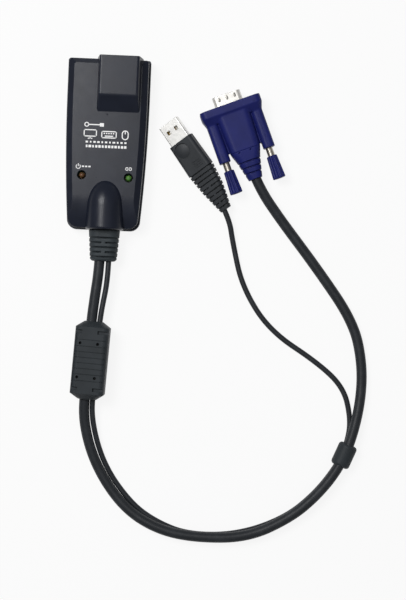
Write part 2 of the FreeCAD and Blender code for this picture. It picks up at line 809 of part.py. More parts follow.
def ferrite_overmould():
    """The plastic moulded over the ferrite, in its own frame, before the cords are taken out."""
    half = ferrite_body_length / 2
    body = rounded_bar(ferrite_width, ferrite_height, ferrite_corner, -half, half)
    parts = [body]
    for end in (-1, 1):
        parts.append(loft([rounded_wire(ferrite_width, ferrite_height, ferrite_corner, end * half),
                           rounded_wire(ferrite_end_width, ferrite_end_height, ferrite_end_corner,
                                        end * (half + ferrite_shoulder))]))
    solid = fuse_all(parts)
    top = ferrite_height / 2
    w, reach, far = ferrite_line_width / 2, ferrite_line_half_length, half - ferrite_line_end_gap
    lines = [box(-reach, reach, y - w, y + w, -2 * top, 2 * top) for y in ferrite_line_spots]
    lines.append(box(-reach - 2 * w, -reach, -far, far, -2 * top, 2 * top))
    deep = ferrite_line_depth
    under_lines = rounded_bar(ferrite_width - 2 * deep, ferrite_height - 2 * deep, ferrite_corner - deep,
                              -half, half)
    cuts = [line.cut(under_lines) for line in lines]
    for side in (-1, 1):
        z_out = side * (top + 1)
        z_deep = side * (top - ferrite_hole_depth)
        z_slot = side * (top - ferrite_slot_depth)
        for ex in (-1, 1):
            for ey in (-1, 1):
                x, y = ferrite_pattern_shift + ex * ferrite_hole_x, ey * ferrite_hole_y
                cuts.append(rod(ferrite_hole_radius, V(x, y, z_deep), V(x, y, z_out)))
                x_in = ferrite_pattern_shift + ex * ferrite_slot_inner_x
                x_out = ex * ferrite_width
                y0 = ey * ferrite_slot_y - ferrite_slot_width / 2
                cuts.append(box(min(x_in, x_out), max(x_in, x_out), y0, y0 + ferrite_slot_width,
                                min(z_slot, z_out), max(z_slot, z_out)))
    return cut_all(solid, cuts).cut(ferrite_core())


def split_ring():
    """The round sleeve where the cords part, in its own frame, before the cords are taken out."""
    half = ring_length / 2
    body = rod(ring_radius, V(0, -half, 0), V(0, half, 0))
    return body.makeFillet(ring_edge, edges_along(body, lambda m, e: abs(abs(m.y) - half) < 0.01))


# ---------------------------------------------------------------- video plug
def d_outline(y, inset):
    """The D-shaped outline of the video plug's shell: wide edge up, slanted sides, round corners."""
    half_h = d_height / 2
    lean = math.tan(math.radians(d_slant))
    top, bottom = d_width / 2, d_width / 2 - d_height * lean
    points = [V(-bottom, y, -half_h), V(bottom, y, -half_h), V(top, y, half_h), V(-top, y, half_h)]
    face = Part.Face(Part.makePolygon(points + points[:1]))
    bar = face.extrude(V(0, 1, 0))
    bar = bar.makeFillet(d_corner, edges_along(bar, lambda m, e: abs(m.y - y - 0.5) < 0.01))
    flat = [f for f in bar.Faces if abs(f.CenterOfMass.y - y) < 1e-6][0]
    wire = flat.OuterWire
    return wire.makeOffset2D(-inset) if inset else wire


def d_bar(y0, y1, inset):
    """The D outline drawn out along Y."""
    return Part.Face(d_outline(y0, inset)).extrude(V(0, y1 - y0, 0))


def inner_mould_bar():
    """The block that carries the video plug's contacts inside its hood."""
    return rounded_bar(inner_mould_width, inner_mould_height, 1.0, -inner_mould_length,
                       -face_plate_thickness)


def video_hood():
    """The blue hood: flange, centre body, the two screw sleeves and their webs."""
    flange = rounded_bar(hood_width, hood_height, hood_corner, -hood_flange_depth, 0)
    shoulder = loft([rounded_wire(hood_width, hood_height, hood_corner, -hood_flange_depth),
                     rounded_wire(shoulder_width, shoulder_height, sleeve_corner, -shoulder_end)])
    body = loft([rounded_wire(hood_body_width, hood_body_height, hood_body_corner,
                              -hood_flange_depth + 1),
                 rounded_wire(hood_body_end_width, hood_body_end_height, hood_body_corner,
                              -hood_body_length)])
    parts, bores = [flange, shoulder, body], []
    for side in (-1, 1):
        x = side * screw_pitch / 2
        parts.append(rounded_bar(sleeve_width, sleeve_height, sleeve_corner, -sleeve_end,
                                 -shoulder_end + 1, side * sleeve_spread / 2))
        x_in, x_out = side * (hood_body_end_width / 2 - 1.5), side * (screw_pitch / 2 - 1)
        parts.append(box(min(x_in, x_out), max(x_in, x_out), 1 - hood_body_length, -hood_flange_depth + 1,
                         -web_height / 2, web_height / 2))
        bores.append(rod(jackscrew_radius + FIT, V(x, -sleeve_end - 1, 0),
                         V(x, -jackscrew_neck_end + FIT, 0)))
        bores.append(rod(jackscrew_neck_radius + 2 * FIT, V(x, -sleeve_end, 0), V(x, 1, 0)))
    plate = rounded_bar(face_plate_width, face_plate_height, 1.5, -face_plate_thickness, 1)
    return cut_all(fuse_all(parts), bores + [plate, inner_mould_bar()])


def video_tail():
    """The tapered, slotted relief behind the hood."""
    body = loft([rounded_wire(w, h, r, -hood_body_length - y) for y, w, h, r in tail_sections])
    cuts = []
    for reach in tail_slot_spots:
        width, height, _ = section_at(tail_sections, reach)
        cuts.append(slot_around(-hood_body_length - reach, tail_slot, width - 2 * tail_slot_nick,
                                height - 2 * tail_slot_depth))
    y = -hood_body_length - tail_hole_y
    top = section_at(tail_sections, tail_hole_y)[1] / 2
    for x in tail_hole_spots:
        cuts.append(rod(tail_hole_radius, V(x, y, top - tail_hole_depth), V(x, y, top + 1)))
    return cut_all(body, cuts)


def video_shell():
    """The nickelled face plate with its D-shaped skirt and the dimples that grip the socket."""
    plate = rounded_bar(face_plate_width, face_plate_height, 1.5, -face_plate_thickness, 0)
    skirt = d_bar(-0.1, d_length, 0)
    shell = plate.fuse(skirt).removeSplitter()
    cuts = [d_bar(-1 - face_plate_thickness, d_length + 1, d_wall)]
    for side in (-1, 1):
        x = side * screw_pitch / 2
        cuts.append(rod(jackscrew_neck_radius + 2 * FIT, V(x, -2, 0), V(x, 1, 0)))
    dimple_z = d_height / 2 + dimple_radius - dimple_depth
    for x in dimple_spots:
        for up in (-1, 1):
            cuts.append(Part.makeSphere(dimple_radius, V(x, dimple_y, up * dimple_z)))
    return cut_all(shell, cuts)


def pin_spots():
    """The x, z places of the fifteen pins: three rows of five, the middle row set off by half a pitch."""
    spots = []
    for row in (-1, 0, 1):
        shift = pin_pitch / 4 if row == 0 else -pin_pitch / 4
        for x in spaced(shift, 5, pin_pitch):
            spots.append((x, row * pin_row_pitch))
    return spots


def video_contact_block():
    """The insulator at the bottom of the shell."""
    block = d_bar(-face_plate_thickness, 0.6, d_wall)
    return cut_all(block, [rod(pin_radius, V(x, -2, z), V(x, 2, z)) for x, z in pin_spots()])


def video_pins():
    """Fifteen pins with rounded tips."""
    pins = []
    for x, z in pin_spots():
        pin = rod(pin_radius, V(x, -face_plate_thickness - pin_tail, z), V(x, pin_length, z))
        tip = edges_along(pin, lambda m, e: m.y > pin_length - 0.01)
        pins.append(pin.makeFillet(pin_radius * 0.6, tip))
    return Part.makeCompound(pins)


def video_inner_mould():
    """The block inside the hood, with the pins' tails in it."""
    back = -face_plate_thickness - pin_tail
    cuts = [rod(pin_radius, V(x, back, z), V(x, 1, z)) for x, z in pin_spots()]
    return cut_all(inner_mould_bar(), cuts)


def jackscrew(side):
    """One steel thumbscrew shaft, drawn back so that its thread stays inside the flange."""
    x = side * screw_pitch / 2
    shaft = rod(jackscrew_radius, V(x, -knob_start - knob_grip_depth, 0), V(x, -jackscrew_neck_end, 0))
    neck = rod(jackscrew_neck_radius, V(x, -jackscrew_neck_end - 0.5, 0), V(x, -jackscrew_front, 0))
    return fuse_all([shaft, neck])


def knob(side):
    """One fluted thumbscrew knob with a driver slot in its end."""
    x = side * screw_pitch / 2
    front, back = -knob_start, -knob_start - knob_length
    body = Part.makeCone(knob_rear_radius, knob_front_radius, knob_length, V(x, back, 0), Y_AXIS)
    rims = edges_along(body, lambda m, e: abs(m.y - front) < 0.01 or abs(m.y - back) < 0.01)
    body = body.makeFillet(knob_edge, rims)
    wide = knob_rear_radius
    cuts = [rod(jackscrew_radius, V(x, front - knob_grip_depth, 0), V(x, front + 1, 0)),
            box(x - wide, x + wide, back - 1, back + knob_slot, -knob_slot / 2, knob_slot / 2)]
    out = knob_flute_radius - knob_flute_depth
    for i in range(knob_flutes):
        angle = 2 * math.pi * (i + 0.5) / knob_flutes
        ray = V(math.cos(angle), 0, math.sin(angle))
        rear = V(x, back, 0) + ray * (knob_rear_radius + out)
        nose = V(x, front, 0) + ray * (knob_front_radius + out)
        along = (nose - rear).normalize()
        cuts.append(rod(knob_flute_radius, rear - along, nose - along * 0.9))
    return cut_all(body, cuts)


# ---------------------------------------------------------------- USB plug
def usb_shell_bar(y0, y1, inset=0.0):
    """The USB shell's outline drawn out along Y."""
    return rounded_bar(usb_shell_width - 2 * inset, usb_shell_height - 2 * inset, 0.6 - inset, y0, y1)


def usb_block_bar():
    """The block behind the shell that carries its contacts."""
    return rounded_bar(usb_block_width, usb_block_height, 0.8, -usb_shell_seat - usb_block_length,
                       -usb_shell_seat)


def usb_overmould():
    """The moulded body, its thumb pad and its ribbed, tapering tail."""
    mouth = rounded_wire(usb_width, usb_height, usb_corner, 0)
    sections = [rounded_wire(w, h, r, -usb_body_length - y, x) for y, w, h, r, x in usb_tail_sections]
    solid = loft([mouth, sections[0]]).fuse(loft(sections)).removeSplitter()
    cuts = []
    for i in range(usb_groove_count):
        reach = usb_first_groove + i * usb_groove_pitch
        width, height, _, x = section_at(usb_tail_sections, reach)
        y = -usb_body_length - reach
        slot = slot_around(y, usb_groove, width - 2 * usb_groove_nick,
                           height - 2 * usb_groove_depth, x)
        if i >= usb_full_grooves and i % 2 == 0:
            half = usb_bridge / 2
            slot = slot.cut(box(x - half, x + half, y - usb_groove, y + usb_groove, -height, height))
        cuts.append(slot)
    solid = cut_all(solid, cuts)
    top = usb_height / 2
    pad_centre = V(usb_pad_x, -usb_pad_y, top)

    def pad_rod(radius, deep):
        return rod(radius, pad_centre - Z_AXIS * deep, pad_centre + Z_AXIS)

    dome_centre = pad_centre - Z_AXIS * (usb_pad_dome_radius + 0.1)
    dome = Part.makeSphere(usb_pad_dome_radius, dome_centre)
    dome = dome.common(pad_rod(usb_pad_radius - 0.5, usb_pad_depth + 0.3))
    solid = fuse_all([solid.cut(pad_rod(usb_pad_radius, usb_pad_depth)), dome])
    return cut_all(solid, [usb_shell_bar(-usb_shell_seat, 1), usb_block_bar()])


def usb_shell():
    """The folded steel shell with its latch windows."""
    tube = usb_shell_bar(-usb_shell_seat, usb_shell_length)
    cuts = [usb_shell_bar(-usb_shell_seat - 1, usb_shell_length + 1, usb_shell_wall)]
    half = usb_latch_size / 2
    for side in (-1, 1):
        x = side * usb_latch_x
        cuts.append(box(x - half, x + half, usb_latch_y - half, usb_latch_y + half, -5, 5))
    return cut_all(tube, cuts)


def usb_contact_bars(extra):
    """The four contact strips on the tongue, a little longer when used as their seats."""
    z = -usb_shell_height / 2 + usb_shell_wall + usb_tongue_thickness
    w = usb_contact_width / 2
    y1 = usb_shell_length - usb_tongue_recess - 1.5
    return [box(x - w, x + w, y1 - usb_contact_length, y1, z - usb_contact_thickness, z + extra)
            for x in usb_contact_spots]


def usb_contact_block():
    """The tongue that carries the contacts, filling the shell behind the plug's mouth."""
    x = usb_shell_width / 2 - usb_shell_wall
    z0 = -usb_shell_height / 2 + usb_shell_wall
    tongue = box(-x, x, -usb_shell_seat, usb_shell_length - usb_tongue_recess,
                 z0, z0 + usb_tongue_thickness)
    root = box(-x, x, -usb_shell_seat, 0.5, z0, usb_shell_height / 2 - usb_shell_wall)
    block = tongue.fuse(root).common(usb_shell_bar(-usb_shell_seat, usb_shell_length, usb_shell_wall))
    return cut_all(block.removeSplitter(), usb_contact_bars(1.0))


# ---------------------------------------------------------------- assembly
def build():
    """Every node by name."""
    video_cord = cord(video_cord_route, video_cord_diameter, "vga_cord")
    data_cord = cord(data_cord_route, data_cord_diameter, "usb_cord")
    cords = Part.makeCompound([video_cord, data_cord])

    def on_ferrite(shape):
        return placed(shape, ferrite_centre, ferrite_heading)

    def on_video_plug(shape):
        return placed(shape, video_plug_origin, video_plug_heading)

    def on_usb_plug(shape):
        return placed(shape, usb_plug_origin, usb_plug_heading, usb_plug_roll)

    nodes = {
        "top_cover": top_cover(),
        "bottom_cover": bottom_cover(),
        "housing_screws": housing_screws(),
        "circuit_board": circuit_board(),
        "network_jack": network_jack(),
        "jack_contacts": jack_contacts(),
        "led_leads": led_leads(),
        "controller_chip": chip(*controller_chip_place),
        "video_chip": chip(*video_chip_place),
        "crystal": crystal(),
        "capacitors": capacitors(),
        "video_header": header(video_header_x, video_wire_count),
        "data_header": header(data_header_x, data_wire_count),
        "video_wire_plug": wire_plug(video_header_x, video_wire_count),
        "data_wire_plug": wire_plug(data_header_x, data_wire_count),
        "video_wires": inner_wires(video_header_x, video_wire_count, video_bunch_x),
        "data_wires": inner_wires(data_header_x, data_wire_count, data_bunch_x),
        "strain_relief": strain_relief(cords),
        "vga_cord": video_cord,
        "usb_cord": data_cord,
        "ferrite_core": on_ferrite(ferrite_core()),
        "ferrite_overmould": on_ferrite(ferrite_overmould()).cut(cords),
        "split_ring": placed(split_ring(), ring_centre, ring_heading).cut(cords),
        "vga_hood": on_video_plug(video_hood()),
        "vga_strain_relief": on_video_plug(video_tail()).cut(video_cord),
        "vga_shell": on_video_plug(video_shell()),
        "vga_contact_block": on_video_plug(video_contact_block()),
        "vga_pins": on_video_plug(video_pins()),
        "vga_inner_mould": on_video_plug(video_inner_mould()),
        "usb_overmould": on_usb_plug(usb_overmould()).cut(data_cord),
        "usb_shell": on_usb_plug(usb_shell()),
        "usb_contact_block": on_usb_plug(usb_contact_block()),
        "usb_contacts": on_usb_plug(Part.makeCompound(usb_contact_bars(0.0))),
        "usb_inner_mould": on_usb_plug(usb_block_bar()),
    }
    for name, x, y in led_points:
        nodes[name] = led(x, y)
    for name, side in (("left", -1), ("right", 1)):
        nodes[f"{name}_jackscrew"] = on_video_plug(jackscrew(side))
        nodes[f"{name}_knob"] = on_video_plug(knob(side))
    return nodes


if __name__ == "__main__":
    os.makedirs("parts", exist_ok=True)
    for node, shape in build().items():
        shape.exportStep(os.path.join("parts", node + ".step"))
        print(node, len(shape.Solids), "solids", round(shape.Volume, 1), "valid", shape.isValid())
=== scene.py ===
"""Looks of an adapter cable for a keyboard, video and mouse switch.

The module, its two cords, the ferrite overmould, the split ring, the video plug and the USB plug are
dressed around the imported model.  Sizes are in millimetres in the classes below and become metres
through MM.  +Z is up and +Y runs along the module towards its network jack.
"""

import logging
import math
from dataclasses import dataclass
from enum import Enum
from typing import Callable, Dict, List, Sequence, Tuple, Union

import bmesh
import bpy
from mathutils import Matrix, Vector


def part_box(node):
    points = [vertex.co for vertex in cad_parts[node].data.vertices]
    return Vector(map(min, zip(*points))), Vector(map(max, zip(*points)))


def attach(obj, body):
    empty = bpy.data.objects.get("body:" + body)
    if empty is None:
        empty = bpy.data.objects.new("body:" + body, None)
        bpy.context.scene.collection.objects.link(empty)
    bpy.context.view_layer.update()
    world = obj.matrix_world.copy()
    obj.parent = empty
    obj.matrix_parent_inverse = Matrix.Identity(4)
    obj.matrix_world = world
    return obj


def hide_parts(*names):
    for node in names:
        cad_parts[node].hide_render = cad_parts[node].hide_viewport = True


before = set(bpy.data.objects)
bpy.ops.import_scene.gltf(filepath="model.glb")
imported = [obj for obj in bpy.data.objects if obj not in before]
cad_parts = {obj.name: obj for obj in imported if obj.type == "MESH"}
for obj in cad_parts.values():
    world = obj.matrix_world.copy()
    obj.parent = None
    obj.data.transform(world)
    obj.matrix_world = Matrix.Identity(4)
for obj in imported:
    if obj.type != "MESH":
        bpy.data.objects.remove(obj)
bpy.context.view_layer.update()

MM = 0.001
EVEN = (1.0, 1.0, 1.0)
BEVEL_SAMPLES = 6
FLAT_ANGLE = 0.4
CREASE_ANGLE = 40.0
STEEP_CREASE_ANGLE = 50.0
LOG = logging.getLogger("adapter_cable")
Pair = Tuple[float, float]
Point = Tuple[float, float, float]
Colour = Tuple[float, float, float]
Linear = Tuple[float, float, float, float]
Box = Tuple[float, float, float, float]
Ring = Tuple[float, Callable[[float], float]]
Adder = Callable[[bpy.types.Object], None]


class Body(str, Enum):
    """The bodies that pieces ride on."""

    ADAPTER = "adapter"
    LEFT_SCREW = "left_thumbscrew"
    RIGHT_SCREW = "right_thumbscrew"


def linear(colour: Colour) -> Linear:
    """Turn an 8-bit display colour into the linear one that a shader takes.

    Args:
        colour: Red, green and blue from 0 to 255.

    Returns:
        Linear red, green, blue and an alpha of one.
    """
    def channel(value: float) -> float:
        """One channel's linear value, by the sRGB curve."""
        value /= 255.0
        return value / 12.92 if value <= 0.04045 else ((value + 0.055) / 1.055) ** 2.4

    return (channel(colour[0]), channel(colour[1]), channel(colour[2]), 1.0)


def shaded(colour: Linear, factor: float, lift: float = 0.0) -> Linear:
    """Scale a linear colour by a factor, and lift it a little if asked."""
    return tuple(min(1.0, c * factor + lift) for c in colour[:3]) + (1.0,)


# ------------------------------------------------------------------ finishes
class ShaderSheet:
    """A material's node tree, with short calls to add and join nodes."""

    def __init__(self, name: str) -> None:
        """Make an empty material that ends in a principled surface.

        Args:
            name: The material's name.
        """
        self.material = bpy.data.materials.new(name)
        self.material.use_nodes = True
        self.tree = self.material.node_tree
        self.surface = self.tree.nodes["Principled BSDF"]
        self.places = self.tree.nodes.new("ShaderNodeTexCoord")

    def node(self, kind: str, **values: object) -> bpy.types.Node:
        """Add a node.

        Args:
            kind: The node's type name.
            values: Properties by name, or inputs by name with spaces as underscores.

        Returns:
            The new node.
        """
        new = self.tree.nodes.new(kind)
        for key, value in values.items():
            if hasattr(new, key):
                setattr(new, key, value)
            else:
                new.inputs[key.replace("_", " ")].default_value = value
        return new

    def join(self, source: bpy.types.NodeSocket, target: bpy.types.NodeSocket) -> None:
        """Link one socket to another."""
        self.tree.links.new(source, target)

    def set_surface(self, **values: object) -> None:
        """Set or link the surface's own sockets.

        Args:
            values: Constants or sockets by the input's name, with spaces as underscores.
        """
        for key, value in values.items():
            socket = self.surface.inputs[key.replace("_", " ")]
            if isinstance(value, bpy.types.NodeSocket):
                self.join(value, socket)
            else:
                socket.default_value = value

    def noise(self, size_mm: float, detail: float = 3.0, stretch: Point = EVEN) -> bpy.types.NodeSocket:
        """Add a noise pattern on the piece's own coordinates.

        Args:
            size_mm: The size of one blotch.
            detail: How many finer layers it has.
            stretch: How much the pattern is squeezed along each axis.

        Returns:
            The pattern's value socket.
        """
        mapping = self.node("ShaderNodeMapping")
        mapping.inputs["Scale"].default_value = stretch
        self.join(self.places.outputs["Object"], mapping.inputs["Vector"])
        noise = self.node("ShaderNodeTexNoise", Scale=1.0 / (size_mm * MM), Detail=detail)
        self.join(mapping.outputs["Vector"], noise.inputs["Vector"])
        return noise.outputs["Fac"]

    def ramp(self, source: bpy.types.NodeSocket, low: Linear, high: Linear,
             start: float = 0.35, end: float = 0.65) -> bpy.types.NodeSocket:
        """Blend two colours by a value.

        Args:
            source: The value.
            low: The colour below start.
            high: The colour above end.
            start: Where the blend begins.
            end: Where the blend ends.

        Returns:
            The blended colour's socket.
        """
        ramp = self.node("ShaderNodeValToRGB")
        ramp.color_ramp.elements[0].position = start
        ramp.color_ramp.elements[0].color = low
        ramp.color_ramp.elements[1].position = end
        ramp.color_ramp.elements[1].color = high
        self.join(source, ramp.inputs["Fac"])
        return ramp.outputs["Color"]

    def span(self, source: bpy.types.NodeSocket, low: float, high: float) -> bpy.types.NodeSocket:
        """Map a value from 0..1 to another range.

        Args:
            source: The value.
            low: What zero becomes.
            high: What one becomes.

        Returns:
            The mapped value's socket.
        """
        span = self.node("ShaderNodeMapRange", To_Min=low, To_Max=high)
        self.join(source, span.inputs["Value"])
        return span.outputs["Result"]

    def bump(self, heights: Sequence[Tuple[bpy.types.NodeSocket, float]], edge_mm: float = 0.0) -> None:
        """Add relief to the surface.

        Args:
            heights: Height sockets, each with its depth in millimetres.
            edge_mm: How far sharp edges look rounded.
        """
        last = None
        if edge_mm:
            bevel = self.node("ShaderNodeBevel", samples=BEVEL_SAMPLES, Radius=edge_mm * MM)
            last = bevel.outputs["Normal"]
        for height, depth_mm in heights:
            bump = self.node("ShaderNodeBump", Strength=1.0, Distance=depth_mm * MM)
            self.join(height, bump.inputs["Height"])
            if last is not None:
                self.join(last, bump.inputs["Normal"])
            last = bump.outputs["Normal"]
        if last is not None:
            self.join(last, self.surface.inputs["Normal"])


@dataclass(frozen=True)
class Moulded:
    """Moulded plastic: a spark-eroded grain, faint blotches and slightly uneven gloss."""

    name: str
    colour: Colour
    roughness: float = 0.5
    grain_mm: float = 0.3
    grain_depth_mm: float = 0.01
    blotch: float = 0.1
    specular: float = 0.5
    edge_mm: float = 0.1
    blotch_mm: float = 9.0
    gloss_mm: float = 3.5
    gloss_swing: float = 0.07
    wave_mm: float = 14.0
    wave_depth_mm: float = 0.05

    def material(self) -> bpy.types.Material:
        """Build the material.

        Returns:
            The plastic, with its grain, blotches and soft edges.
        """
        sheet = ShaderSheet(self.name)
        base = linear(self.colour)
        sheet.set_surface(
            Base_Color=sheet.ramp(sheet.noise(self.blotch_mm, detail=4.0), shaded(base, 1 - self.blotch),
                                  shaded(base, 1 + self.blotch)),
            Roughness=sheet.span(sheet.noise(self.gloss_mm, detail=5.0),
                                 self.roughness - self.gloss_swing, self.roughness + self.gloss_swing),
            Specular_IOR_Level=self.specular)
        grain = sheet.noise(self.grain_mm, detail=2.0)
        waves = sheet.noise(self.wave_mm, detail=1.0)
        sheet.bump([(waves, self.wave_depth_mm), (grain, self.grain_depth_mm)], self.edge_mm)
        return sheet.material


@dataclass(frozen=True)
class Sheath:
    """A cord's PVC sheath: nearly smooth, with faint draw lines and handling marks."""

    name: str
    colour: Colour
    roughness: float = 0.42
    specular: float = 0.5
    dust_mm: float = 6.0
    dust_gain: float = 1.35
    dust_lift: float = 0.004
    gloss_mm: float = 2.5
    smoother: float = 0.08
    rougher: float = 0.1
    wave_mm: float = 5.0
    wave_depth_mm: float = 0.06
    grain_mm: float = 0.35
    grain_depth_mm: float = 0.006

    def material(self) -> bpy.types.Material:
        """Build the material.

        Returns:
            The sheath, dusty in places.
        """
        sheet = ShaderSheet(self.name)
        base = linear(self.colour)
        sheet.set_surface(
            Base_Color=sheet.ramp(sheet.noise(self.dust_mm, detail=5.0), base,
                                  shaded(base, self.dust_gain, self.dust_lift), start=0.45, end=0.8),
            Roughness=sheet.span(sheet.noise(self.gloss_mm, detail=4.0),
                                 self.roughness - self.smoother, self.roughness + self.rougher),
            Specular_IOR_Level=self.specular)
        sheet.bump([(sheet.noise(self.wave_mm, detail=1.0), self.wave_depth_mm),
                    (sheet.noise(self.grain_mm, detail=2.0), self.grain_depth_mm)])
        return sheet.material


@dataclass(frozen=True)
class Metal:
    """Plated or turned metal with fine scratches."""

    name: str
    colour: Colour
    roughness: float = 0.22
    brushed: Point = EVEN
    scratch_mm: float = 0.5
    scratch_depth_mm: float = 0.0015
    metallic: float = 1.0
    dull_mm: float = 2.5
    dull: float = 0.82
    smoother: float = 0.06
    rougher: float = 0.1
    edge_mm: float = 0.06

    def material(self) -> bpy.types.Material:
        """Build the material.

        Returns:
            The metal, with duller patches and scratches.
        """
        sheet = ShaderSheet(self.name)
        base = linear(self.colour)
        scratches = sheet.noise(self.scratch_mm, detail=4.0, stretch=self.brushed)
        sheet.set_surface(
            Base_Color=sheet.ramp(sheet.noise(self.dull_mm, detail=5.0), shaded(base, self.dull), base,
                                  start=0.3, end=0.6),
            Metallic=self.metallic,
            Roughness=sheet.span(scratches, self.roughness - self.smoother,
                                 self.roughness + self.rougher))
        sheet.bump([(scratches, self.scratch_depth_mm)], self.edge_mm)
        return sheet.material


@dataclass(frozen=True)
class Lamp:
    """Tinted epoxy of an unlit lamp."""

    name: str
    colour: Colour
    deep: float = 0.8
    cloud_mm: float = 1.6
    roughness: float = 0.5
    clear: float = 0.15
    milky: float = 0.3
    milky_mm: float = 1.0

    def material(self) -> bpy.types.Material:
        """Build the material.

        Returns:
            The epoxy, partly clear and partly milky.
        """
        sheet = ShaderSheet(self.name)
        base = linear(self.colour)
        sheet.set_surface(
            Base_Color=sheet.ramp(sheet.noise(self.cloud_mm, detail=1.0), shaded(base, self.deep), base,
                                  start=0.3, end=0.7),
            Roughness=self.roughness, Transmission_Weight=self.clear, Subsurface_Weight=self.milky,
            Subsurface_Scale=self.milky_mm * MM)
        return sheet.material


@dataclass(frozen=True)
class Ink:
    """Screen-printed ink, a little worn."""

    name: str
    colour: Colour
    worn: Colour
    worn_mm: float = 0.7
    roughness: float = 0.5

    def material(self) -> bpy.types.Material:
        """Build the material.

        Returns:
            The ink, with worn specks.
        """
        sheet = ShaderSheet(self.name)
        sheet.set_surface(
            Base_Color=sheet.ramp(sheet.noise(self.worn_mm, detail=3.0), linear(self.worn),
                                  linear(self.colour), start=0.3, end=0.45),
            Roughness=self.roughness)
        return sheet.material


@dataclass(frozen=True)
class Board:
    """Solder mask over copper tracks."""

    name: str
    mask: Colour
    track: Colour
    track_pitch_mm: float = 6.0
    track_width: float = 0.06
    roughness: float = 0.3
    grain_mm: float = 0.5
    grain_depth_mm: float = 0.01

    def material(self) -> bpy.types.Material:
        """Build the material.

        Returns:
            The mask, with the tracks showing through.
        """
        sheet = ShaderSheet(self.name)
        mask = linear(self.mask)
        tracks = sheet.node("ShaderNodeTexBrick", Scale=1.0 / (self.track_pitch_mm * MM),
                            Mortar_Size=self.track_width, Color1=mask, Color2=mask,
                            Mortar=linear(self.track))
        sheet.join(sheet.places.outputs["Object"], tracks.inputs["Vector"])
        sheet.set_surface(Base_Color=tracks.outputs["Color"], Roughness=self.roughness)
        sheet.bump([(sheet.noise(self.grain_mm, detail=3.0), self.grain_depth_mm)])
        return sheet.material


Finish = Union[Moulded, Sheath, Metal, Lamp, Ink, Board]

MODULE_BLACK = Moulded("module_black", (28, 32, 44), roughness=0.31, grain_mm=0.26, grain_depth_mm=0.014,
                       specular=0.25, edge_mm=0.3)
RELIEF_GREY = Moulded("relief_grey", (53, 59, 63), roughness=0.55, specular=0.22, edge_mm=0.12)
OVERMOULD_GREY = Moulded("overmould_grey", (44, 49, 53), roughness=0.55, grain_depth_mm=0.012,
                         blotch=0.12, specular=0.22, edge_mm=0.25)
USB_GREY = Moulded("usb_grey", (46, 49, 53), blotch=0.12, specular=0.3, edge_mm=0.25)
HOOD_BLUE = Moulded("hood_blue", (27, 33, 98), roughness=0.45, specular=0.2, edge_mm=0.15)
JACK_BLACK = Moulded("jack_black", (22, 22, 25), roughness=0.4, grain_depth_mm=0.006)
CHIP_BLACK = Moulded("chip_black", (26, 26, 29), roughness=0.6, grain_mm=0.12, grain_depth_mm=0.008,
                     specular=0.4, edge_mm=0.08)
NYLON_WHITE = Moulded("nylon_white", (226, 224, 214), roughness=0.45, grain_depth_mm=0.006, blotch=0.04)
FERRITE_GREY = Moulded("ferrite_grey", (58, 57, 58), roughness=0.7, grain_mm=0.15, grain_depth_mm=0.02,
                       blotch=0.2, specular=0.3)
CORD_BLACK = Sheath("cord_black", (38, 41, 45), roughness=0.45, specular=0.25)
WIRE_RED = Sheath("wire_red", (168, 36, 32), roughness=0.4)
WIRE_WHITE = Sheath("wire_white", (214, 212, 206), roughness=0.4)
NICKEL = Metal("nickel", (236, 234, 229), roughness=0.4, scratch_mm=1.2, scratch_depth_mm=0.001,
               metallic=0.6)
# Darker nickel for the shell's dimples: painted shade, since the dimples are of the shell's own metal.
DIMPLE_PAINTED_SHADE = Metal("dimple_painted_shade", (150, 148, 143), roughness=0.4)
BRIGHT_TIN = Metal("bright_tin", (250, 249, 246), roughness=0.42)
STEEL = Metal("steel", (186, 180, 170), roughness=0.34, brushed=(8.0, 8.0, 1.0), scratch_mm=0.8)
GOLD = Metal("gold", (236, 196, 110), roughness=0.2)
LAMP_AMBER = Lamp("lamp_amber", (108, 74, 42))
LAMP_GREEN = Lamp("lamp_green", (92, 148, 62))
WHITE_INK = Ink("white_ink", (250, 250, 250), worn=(214, 214, 216))
GREEN_BOARD = Board("green_board", mask=(16, 92, 48), track=(38, 122, 70))


